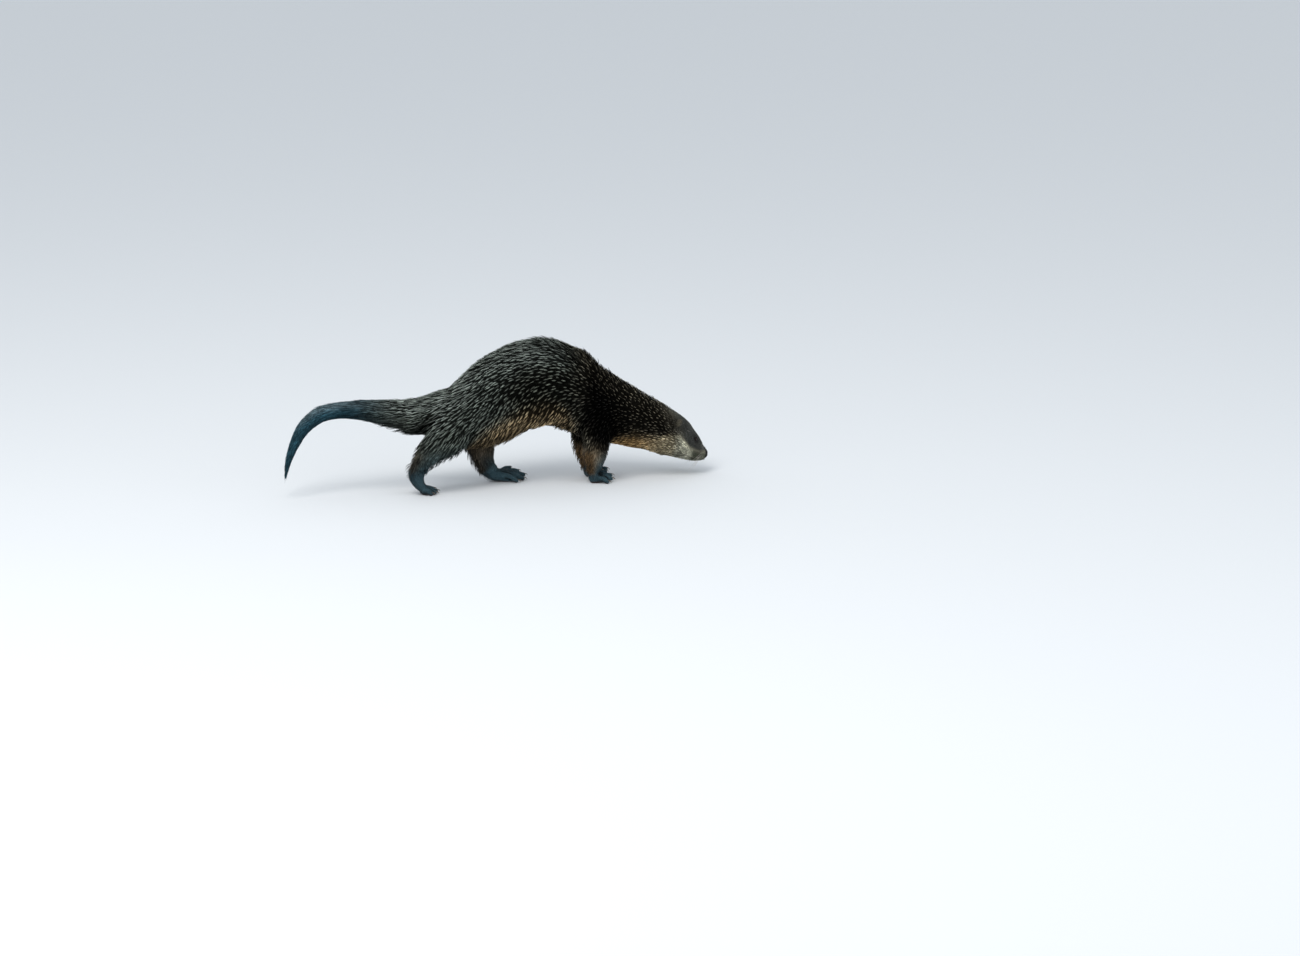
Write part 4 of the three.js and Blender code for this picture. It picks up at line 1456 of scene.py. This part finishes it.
def rounded(node, name, voxel, rounds, share=0.5):
    """A finely meshed, softened copy of one solid."""
    obj = linked(name, one_hull([node], voxel))
    obj.modifiers.new("faces", "TRIANGULATE")
    mesh = with_modifiers(obj)
    soft = Skin(mesh)
    soft.co = soft.relaxed(soft.co, rounds, share)
    soft.fit()
    return soft


# Each nostril curls up and out, as dips: y and z from the middle of the nose, radius, depth (mm).
NOSTRILS = (
    (3.4, -1.6, 1.1, 1.0),
    (4.5, -1.7, 1.3, 1.9),
    (5.7, -1.2, 1.4, 2.1),
    (6.9, -0.1, 1.2, 1.9),
    (7.9, 1.4, 1.0, 1.6),
    (8.5, 2.9, 0.9, 1.1),
)
# The groove between them: depth and width (mm).
NOSE_GROOVE = (0.8, 0.9)
# Which facings count as the front of the nose.
NOSE_FACING = (-0.2, 0.4)
# How much broader the nose is at its middle and how much more towards its top, the height of its
# top over its middle (mm), and how much taller it is.
NOSE_WIDER = (1.08, 0.16)
NOSE_TOP = 10
NOSE_TALLER = 1.1


def make_nose(material):
    """The bare nose: a broad pad with two comma nostrils and a groove between them."""
    nose = rounded("nose_pad", "nose_leather", 0.6 * MM, 6)
    middle = middle_of("nose_pad")
    off = nose.co - middle
    high = np.clip(off[:, 2] / (NOSE_TOP * MM), -1, 1)
    wider = NOSE_WIDER[0] + NOSE_WIDER[1] * high
    off *= np.c_[np.ones(len(off)), wider, np.full(len(off), NOSE_TALLER)]
    nose.co = middle + off
    nose.fit()
    front = rise(*NOSE_FACING, nose.normal[:, 0])
    groove, breadth = NOSE_GROOVE
    press = groove * np.exp(-((off[:, 1] / (breadth * MM)) ** 2))
    for y, z, radius, depth in NOSTRILS:
        away = np.hypot(np.abs(off[:, 1]) - y * MM, off[:, 2] - z * MM) / (radius * MM)
        press = np.maximum(press, depth * np.exp(-(away**2)))
    nose.co -= (press * front * MM)[:, None] * nose.normal
    nose.fit()
    nose.mesh.name = "nose_leather"
    finish_piece(new_object("nose_leather", nose.mesh, material), ["nose_pad"])


def tube(rings, line):
    """The points and triangles of a closed tube through rings, and how far along they are."""
    steps, sides = rings.shape[:2]
    points = np.vstack([rings.reshape(-1, 3), line[0], line[-1]])
    start, end = len(points) - 2, len(points) - 1
    faces = []
    for j in range(sides):
        k = (j + 1) % sides
        for ring in range(0, (steps - 1) * sides, sides):
            above = ring + sides
            faces += [(ring + j, ring + k, above + k), (ring + j, above + k, above + j)]
        faces += [(start, k, j), (end, end - 1 - sides + j, end - 1 - sides + k)]
    along = np.r_[np.repeat(np.linspace(0, 1, steps), sides), 0, 1]
    return points, np.array(faces), along


def round_tube(line, size, side, over, sides):
    """A tube round a line: its half widths along it, and the ways across it and over it."""
    turn = 2 * np.pi * np.arange(sides) / sides
    across = np.cos(turn)[None, :, None] * side
    rings = line[:, None] + size[:, :, None] * (across + np.sin(turn)[None, :, None] * over)
    return tube(rings, line)


CLAW_SIDES = 10
CLAW_STEPS = 9
CLAW_BEND = 0.16
CLAW_SINK = 0.35
# How narrow a claw is for its height, its half height as a share of its root's, how late it tapers,
# and the half height of its point.
CLAW_NARROW = 0.62
CLAW_SLIM = 0.9
CLAW_TAPER = 1.4
CLAW_POINT = 0.12 * MM
# The shares of a claw's points that give its root and its tip.
ROOT_SHARE = 0.3
TIP_SHARE = 0.9


def claw_shape(node, ankle):
    """A tapered, bent claw from the root to the tip of its solid."""
    points, _ = welded(node)
    middle = points.mean(0)
    axis = np.linalg.svd(points - middle)[2][0]
    axis = axis if axis @ (middle - ankle) > 0 else -axis
    along = (points - middle) @ axis
    first = points[along < np.quantile(along, ROOT_SHARE)]
    root = first.mean(0)
    tip = points[along > np.quantile(along, TIP_SHARE)].mean(0)
    spread = first - root
    size = np.linalg.norm(spread - (spread @ axis)[:, None] * axis, axis=1).mean()
    run = tip - root
    length = np.linalg.norm(run)
    side = unit(np.cross(run, [0, 0, 1.0]))
    up = np.cross(side, run / length)
    t = np.linspace(-CLAW_SINK, 1, CLAW_STEPS)[:, None]
    line = root + run * t + up * (CLAW_BEND * length * 4 * t.clip(0) * (1 - t))
    taper = np.sqrt(np.clip(1 - t.clip(0) ** CLAW_TAPER, 0, 1))
    high = size * taper * CLAW_SLIM + CLAW_POINT
    return round_tube(line, high, CLAW_NARROW * side, up, CLAW_SIDES)


def joined(name, parts):
    """One mesh from several tubes, which keeps how far along its tube each point is."""
    points, faces, along, count = [], [], [], 0
    for part in parts:
        points.append(part[0])
        faces.append(part[1] + count)
        along.append(part[2])
        count += len(part[0])
    mesh = mesh_of(name, np.concatenate(points), np.concatenate(faces))
    along = np.concatenate(along)
    set_values(mesh, "strand", "FLOAT_VECTOR", np.c_[along, along * 0, along * 0])
    return mesh


def make_claws(foot, material):
    """The five claws of one foot in one piece."""
    ankle, _ = digits_of(foot)
    nodes = [f"claw_{foot}_{number}" for number in range(1, 6)]
    mesh = joined(f"claws_{foot}", [claw_shape(node, ankle) for node in nodes])
    finish_piece(new_object(f"claws_{foot}", mesh, material), nodes)


WHISKER_SIDES = 5
WHISKER_STEPS = 9
WHISKER_TAPER = 0.7
WHISKER_POINT = 0.04 * MM


def whisker(root, way, length, radius, droop):
    """A tapered bristle from its root, bending down."""
    t = np.linspace(0, 1, WHISKER_STEPS)[:, None]
    line = root + way * length * t + np.array([0, 0, -1]) * droop * length * t**2
    ahead = unit(np.gradient(line, axis=0))
    side = unit(np.cross(ahead, [0, 0, 1.0]))
    over = np.cross(side, ahead)
    size = radius * (1 - t) ** WHISKER_TAPER + WHISKER_POINT
    return round_tube(line, size, side[:, None], over[:, None], WHISKER_SIDES)


# Where whiskers grow: x, y from the middle and z of the patch (mm), its size, how many, their
# length (mm), and the way they point: back, out and down.
WHISKER_BEDS = (
    (459, 20, 44, 6, 10, 38, (-0.95, 0.6, -0.12)),
    (452, 24, 44, 6, 7, 46, (-1.0, 0.55, -0.12)),
    (430, 30, 98, 2.5, 2, 18, (-0.9, 0.4, 0.35)),
    (424, 36, 54, 4, 3, 24, (-1.0, 0.4, -0.25)),
    (438, 10, 32, 5, 4, 12, (-1.0, 0.3, -0.35)),
)
# How deep their roots are, how far they spread and stand out from the skin, and how they vary in
# length.
WHISKER_ROOT = 0.8
WHISKER_SPREAD = 0.14
WHISKER_STAND = 0.35
WHISKER_REACH = (0.6, 1.1)
# The height over the floor that their tips keep, and the length that they keep for it (mm).
WHISKER_GAP = 3
WHISKER_LEAST = 6


def make_whiskers(skin, face, material):
    """Whiskers on the muzzle, over the eyes, on the cheeks and under the chin."""
    random = np.random.default_rng(face.seed)
    tree = tree_of(skin.co)
    made = []
    for x, y, z, size, number, length, way in WHISKER_BEDS:
        for sign in (1, -1):
            for _ in range(number):
                spot = np.array([x, sign * y, z]) + random.normal(0, size / 2, 3)
                spot = spot * MM + np.array([0, MIDDLE_Y, 0])
                row = tree.find(spot)[1]
                root = skin.co[row] - skin.normal[row] * WHISKER_ROOT * MM
                point = np.array([way[0], sign * way[1], way[2]])
                point = unit(point + random.normal(0, WHISKER_SPREAD, 3))
                point = unit(point + WHISKER_STAND * skin.normal[row])
                reach = length * MM * face.whisker_length * random.uniform(*WHISKER_REACH)
                room = (root[2] - WHISKER_GAP * MM) / max(1e-6, -point[2] + face.droop)
                reach = min(reach, max(room, WHISKER_LEAST * MM))
                made.append(whisker(root, point, reach, face.whisker_width * MM / 2, face.droop))
    mesh = joined("whiskers", made)
    finish_piece(new_object("whiskers", mesh, material))


# ---- The stage ----
# The place that the lights face.
LIT = (0, 0, 0.15)


def area_light(name, place, size, power, colour):
    """A soft square light, turned to the middle of the otter."""
    data = bpy.data.lights.new(name, "AREA")
    data.shape = "SQUARE"
    data.size = size
    data.energy = power
    data.color = colour
    obj = linked(name, data)
    obj.location = place
    obj.rotation_euler = (Vector(LIT) - Vector(place)).to_track_quat("-Z", "Y").to_euler()


# How far the floor lies under the feet, and its radius (m).
FLOOR_GAP = 0.5 * MM
FLOOR_RADIUS = 60


def floor_piece(colour):
    """A plain pale floor that reaches past the horizon."""
    made = bmesh.new()
    bmesh.ops.create_circle(made, cap_ends=True, segments=64, radius=FLOOR_RADIUS)
    mesh = bpy.data.meshes.new("floor")
    made.to_mesh(mesh)
    made.free()
    shader = Shader("pale_floor")
    shader.set(Base_Color=(*colour, 1), Roughness=0.9, Specular_IOR_Level=0.1)
    floor = new_object("floor", mesh, shader.material)
    floor.location.z = -FLOOR_GAP


# ---- Settings ----
def number_of(name, description, default, **kind):
    """The setting of one number."""
    return FloatProperty(name=name, description=description, default=default, **kind)


def colour_of(name, description, default):
    """The setting of one colour."""
    return FloatVectorProperty(
        name=name, description=description, subtype="COLOR", size=3, min=0, max=1, default=default
    )


def kind_of(name, depth, length, width, spacing):
    """The setting of one kind of coat, given in millimetres."""
    return FloatVectorProperty(
        name=name,
        description="Depth of the coat, then length, width and spacing of its tufts",
        size=4,
        unit="LENGTH",
        precision=5,
        default=(depth * MM, length * MM, width * MM, spacing * MM),
    )


class OtterSkinSettings(bpy.types.PropertyGroup):
    """How the skin is made."""

    voxel: number_of("Voxel", "Fineness of the skin", 1.6 * MM, unit="LENGTH")
    thin: number_of("Thinning", "Share of the faces that stay", 0.3, subtype="FACTOR")
    seed: IntProperty(name="Seed", description="Draw of the skin's random places", default=11)


class OtterCoatSettings(bpy.types.PropertyGroup):
    """Kinds of coat and how tufts vary."""

    body: kind_of("Rump and back", 5.0, 17, 3.3, 5.5)
    rump: kind_of("Rump and crest", 4.6, 22, 2.7, 4.6)
    side: kind_of("Middle of the side", 6.0, 15, 3.8, 7.6)
    thigh: kind_of("Thighs", 4.6, 24, 3.2, 5.1)
    shoulder: kind_of("Shoulders", 5.0, 10, 2.7, 6.4)
    belly: kind_of("Lower side and belly", 4.6, 16, 4.0, 5.2)
    neck: kind_of("Neck", 3.8, 12, 3.2, 5.1)
    throat: kind_of("Throat", 3.4, 11, 3.8, 4.2)
    face: kind_of("Face", 0.7, 3.6, 0.9, 1.25)
    ear: kind_of("Ears", 0.5, 2.6, 0.8, 1.1)
    leg: kind_of("Lower legs", 1.4, 8, 1.6, 2.4)
    spike: kind_of("Wet fringes of legs and tail", 2.6, 12, 2.9, 3.4)
    foot: kind_of("Feet", 0.14, 3.0, 0.7, 1.5)
    tail: kind_of("Tail", 1.6, 26, 2.6, 3.8)
    tail_end: kind_of("Tail's end", 0.8, 12, 1.6, 2.4)
    stray: number_of("Stray", "How far stray tufts stand out", 1.8 * MM, unit="LENGTH")
    ruffle: number_of("Ruffle", "How far tufts turn from the lie", 0.09, unit="ROTATION")
    variety: number_of("Variety", "Spread of the tufts' tones", 0.3, subtype="FACTOR")
    seed: IntProperty(name="Seed", description="Draw of the tufts", default=23)


class OtterPaintSettings(bpy.types.PropertyGroup):
    """Colours of the coat, skin and face, some with painted sheen, shade, reflection and bounced
    light.
    """

    # The crest's cool grey is a painted sky sheen on the back where it faces up.
    crest: colour_of("Crest", "The top of the back, a cool grey when wet", (0.52, 0.59, 0.53))
    rump: colour_of("Rump", "Rump, hips and thighs", (0.355, 0.41, 0.355))
    side: colour_of("Side", "The middle of the side", (0.215, 0.23, 0.185))
    nape: colour_of("Nape", "Withers, nape and the top of the neck", (0.38, 0.34, 0.25))
    # The shoulders' near black is painted shade in the fur that stands toward the camera.
    shoulder: colour_of("Shoulder", "The black shoulders", (0.024, 0.023, 0.019))
    flank: colour_of("Lower side", "The warm band over the belly", (0.86, 0.64, 0.37))
    # Haunches: a dark grey coat, partly tinted by a painted blue-grey sky sheen.
    haunch: colour_of("Haunch", "Lower thighs and hocks, with a short coat", (0.1, 0.135, 0.13))
    leg: colour_of("Legs", "The warm rear sides of the legs", (0.285, 0.175, 0.083))
    # Feet, shanks and tail: a dark coat, tinted blue by a painted reflection of the sky.
    foot: colour_of("Feet", "Shanks and feet", (0.05, 0.094, 0.114))
    tail: colour_of("Tail", "The sleek tail", (0.039, 0.116, 0.157))
    # The tail's ridge colour is a painted sky sheen on the top of the tail.
    ridge: colour_of("Tail's ridge", "The top of the tail", (0.155, 0.225, 0.255))
    breast: colour_of("Breast", "The golden start of the throat", (1.0, 0.62, 0.26))
    # Throat and cheeks: a pale coat, painted brighter still for light bounced up from the floor
    # under the head.
    throat: colour_of("Throat", "Throat and cheeks", (0.88, 0.76, 0.5))
    cheek: colour_of("Cheeks", "The palest coat, on cheeks and behind the chin", (1.0, 0.98, 0.76))
    lips: colour_of("Lips", "Lips and chin", (0.175, 0.185, 0.13))
    crown: colour_of("Crown", "The dark top and sides of the head", (0.085, 0.092, 0.085))
    muzzle: colour_of("Muzzle", "The grey front of the face", (0.165, 0.165, 0.15))
    nose: colour_of("Nose", "Nose leather, lids and lips", (0.012, 0.011, 0.012))
    pad: colour_of("Pads", "Soles of the feet", (0.1, 0.06, 0.045))
    eye: colour_of("Eyes", "The iris", (0.016, 0.0075, 0.0035))
    claw: colour_of("Claws", "Horn of the claws", (0.12, 0.098, 0.075))
    whisker: colour_of("Whiskers", "The bristles' tips", (0.6, 0.56, 0.48))


class OtterFaceSettings(bpy.types.PropertyGroup):
    """How whiskers grow."""

    whisker_length: number_of("Whisker length", "Share of the full length", 1.0)
    whisker_width: number_of("Whisker width", "Width at the root (mm)", 0.34)
    droop: number_of("Droop", "How far whiskers bend down", 0.12, subtype="FACTOR")
    seed: IntProperty(name="Seed", description="Draw of the whiskers", default=5)


class OtterStageSettings(bpy.types.PropertyGroup):
    """Floor, lights and camera."""

    floor: colour_of("Floor", "The floor's colour", (0.76, 0.78, 0.8))
    sky: colour_of("Surroundings", "Light from all round", (0.9, 0.95, 1.0))
    sky_strength: number_of("Surround light", "Strength of the light all round", 0.8)
    key: number_of("Key light", "Power of the main light (W)", 150)
    fill: number_of("Fill light", "Power of the light from the front (W)", 25)
    lens: number_of("Lens", "Focal length (mm)", 100)
    azimuth: number_of("Azimuth", "Camera's way round", math.radians(-17.4), unit="ROTATION")
    elevation: number_of("Elevation", "Camera's height angle", math.radians(13), unit="ROTATION")
    distance: number_of("Distance", "Camera to the place it looks at", 7.944, unit="LENGTH")
    aim: FloatVectorProperty(
        name="Aim",
        description="The place the camera looks at",
        size=3,
        unit="LENGTH",
        default=(0.3171, -0.0993, 0.0159),
    )


# ---- Operators ----
class OTTER_OT_skin(bpy.types.Operator):
    """Makes the otter's skin round its solids of flesh"""

    bl_idname = "otter.skin"
    bl_label = "Skin"

    def execute(self, context):
        scene = context.scene
        skin = build_skin(scene.otter_skin, scene.otter_coat, scene.otter_paint)
        obj = new_object("skin", skin.mesh, skin_finish())
        # The skin between the tufts takes the coat's colour darkened by painted shade.
        shade = 1 - SKIN_SHADE * skin.sizes[:, 4:]
        set_values(skin.mesh, "coat_colour", "FLOAT_COLOR", skin.colour * shade)
        unwrap(obj)
        finish_piece(obj, FLESH)
        OTTER["skin"] = skin
        return {"FINISHED"}


def ready_skin():
    """The skin that the first operator has made."""
    if "skin" not in OTTER:
        raise RuntimeError("the skin comes first")
    return OTTER["skin"]


class OTTER_OT_coat(bpy.types.Operator):
    """Covers the skin with tufts that follow the lie of the coat"""

    bl_idname = "otter.coat"
    bl_label = "Coat"

    def execute(self, context):
        coat = context.scene.otter_coat
        wet = coat_finish("otter_wet_tufts", 0.36, 0.06)
        deep = coat_finish("otter_underfur", 0.7, 0.0)
        sleek = coat_finish("otter_wet_feet", 0.34, 0.3)
        grow_coat(ready_skin(), coat, {"under": deep, "over": wet, "short": wet, "feet": sleek})
        return {"FINISHED"}


class OTTER_OT_face(bpy.types.Operator):
    """Makes the eyes, the bare nose and the whiskers"""

    bl_idname = "otter.face"
    bl_label = "Eyes, nose and whiskers"

    def execute(self, context):
        skin, paint = ready_skin(), context.scene.otter_paint
        eye = eye_finish(paint.eye)
        for side in SIDES:
            make_eye(skin, side, eye)
        make_nose(nose_finish(paint.nose))
        make_whiskers(skin, context.scene.otter_face, whisker_finish(paint.whisker))
        return {"FINISHED"}


class OTTER_OT_claws(bpy.types.Operator):
    """Makes the five claws of each foot"""

    bl_idname = "otter.claws"
    bl_label = "Claws"

    def execute(self, context):
        horn = claw_finish(context.scene.otter_paint.claw)
        for foot in FEET:
            make_claws(foot, horn)
        return {"FINISHED"}


class OTTER_OT_stage(bpy.types.Operator):
    """Sets up the floor, the lights and the camera"""

    bl_idname = "otter.stage"
    bl_label = "Stage"

    def execute(self, context):
        scene, stage = context.scene, context.scene.otter_stage
        floor_piece(stage.floor)
        world = bpy.data.worlds.new("surroundings")
        world.use_nodes = True
        back = world.node_tree.nodes["Background"]
        back.inputs["Color"].default_value = (*stage.sky, 1)
        back.inputs["Strength"].default_value = stage.sky_strength
        scene.world = world
        area_light("key", (-2.2, -2.6, 4.2), 2.6, stage.key, (1, 0.98, 0.95))
        area_light("fill", (3.2, -3.6, 1.6), 3.0, stage.fill, (0.9, 0.95, 1))
        data = bpy.data.cameras.new("camera")
        data.lens = stage.lens
        data.sensor_width = 36
        data.clip_end = 300
        camera = linked("camera", data)
        a, e = stage.azimuth, stage.elevation
        back = Vector((math.sin(a) * math.cos(e), -math.cos(a) * math.cos(e), math.sin(e)))
        camera.location = Vector(stage.aim) + back * stage.distance
        camera.rotation_euler = back.to_track_quat("Z", "Y").to_euler()
        scene.camera = camera
        scene.view_settings.view_transform = "Standard"
        return {"FINISHED"}


class OTTER_PT_panel(bpy.types.Panel):
    """The otter's pieces and their settings"""

    bl_label = "River otter"
    bl_idname = "OTTER_PT_panel"
    bl_space_type = "VIEW_3D"
    bl_region_type = "UI"
    bl_category = "Otter"

    def draw(self, context):
        for operator in OPERATORS:
            self.layout.operator(operator.bl_idname)
        for name, group in SETTINGS.items():
            box = self.layout.box()
            for key in group.__annotations__:
                box.prop(getattr(context.scene, name), key)


OPERATORS = (OTTER_OT_skin, OTTER_OT_coat, OTTER_OT_face, OTTER_OT_claws, OTTER_OT_stage)
SETTINGS = {
    "otter_skin": OtterSkinSettings,
    "otter_coat": OtterCoatSettings,
    "otter_paint": OtterPaintSettings,
    "otter_face": OtterFaceSettings,
    "otter_stage": OtterStageSettings,
}
CLASSES = (*SETTINGS.values(), *OPERATORS, OTTER_PT_panel)


def register():
    """Adds the classes and the settings."""
    for made in CLASSES:
        bpy.utils.register_class(made)
    for name, group in SETTINGS.items():
        setattr(bpy.types.Scene, name, PointerProperty(type=group))


def unregister():
    """Takes the settings and the classes away again."""
    for name in SETTINGS:
        delattr(bpy.types.Scene, name)
    for made in reversed(CLASSES):
        bpy.utils.unregister_class(made)


def main():
    """Makes every piece in order."""
    register()
    bpy.ops.otter.skin()
    bpy.ops.otter.coat()
    bpy.ops.otter.face()
    bpy.ops.otter.claws()
    bpy.ops.otter.stage()


if __name__ == "__main__":
    main()
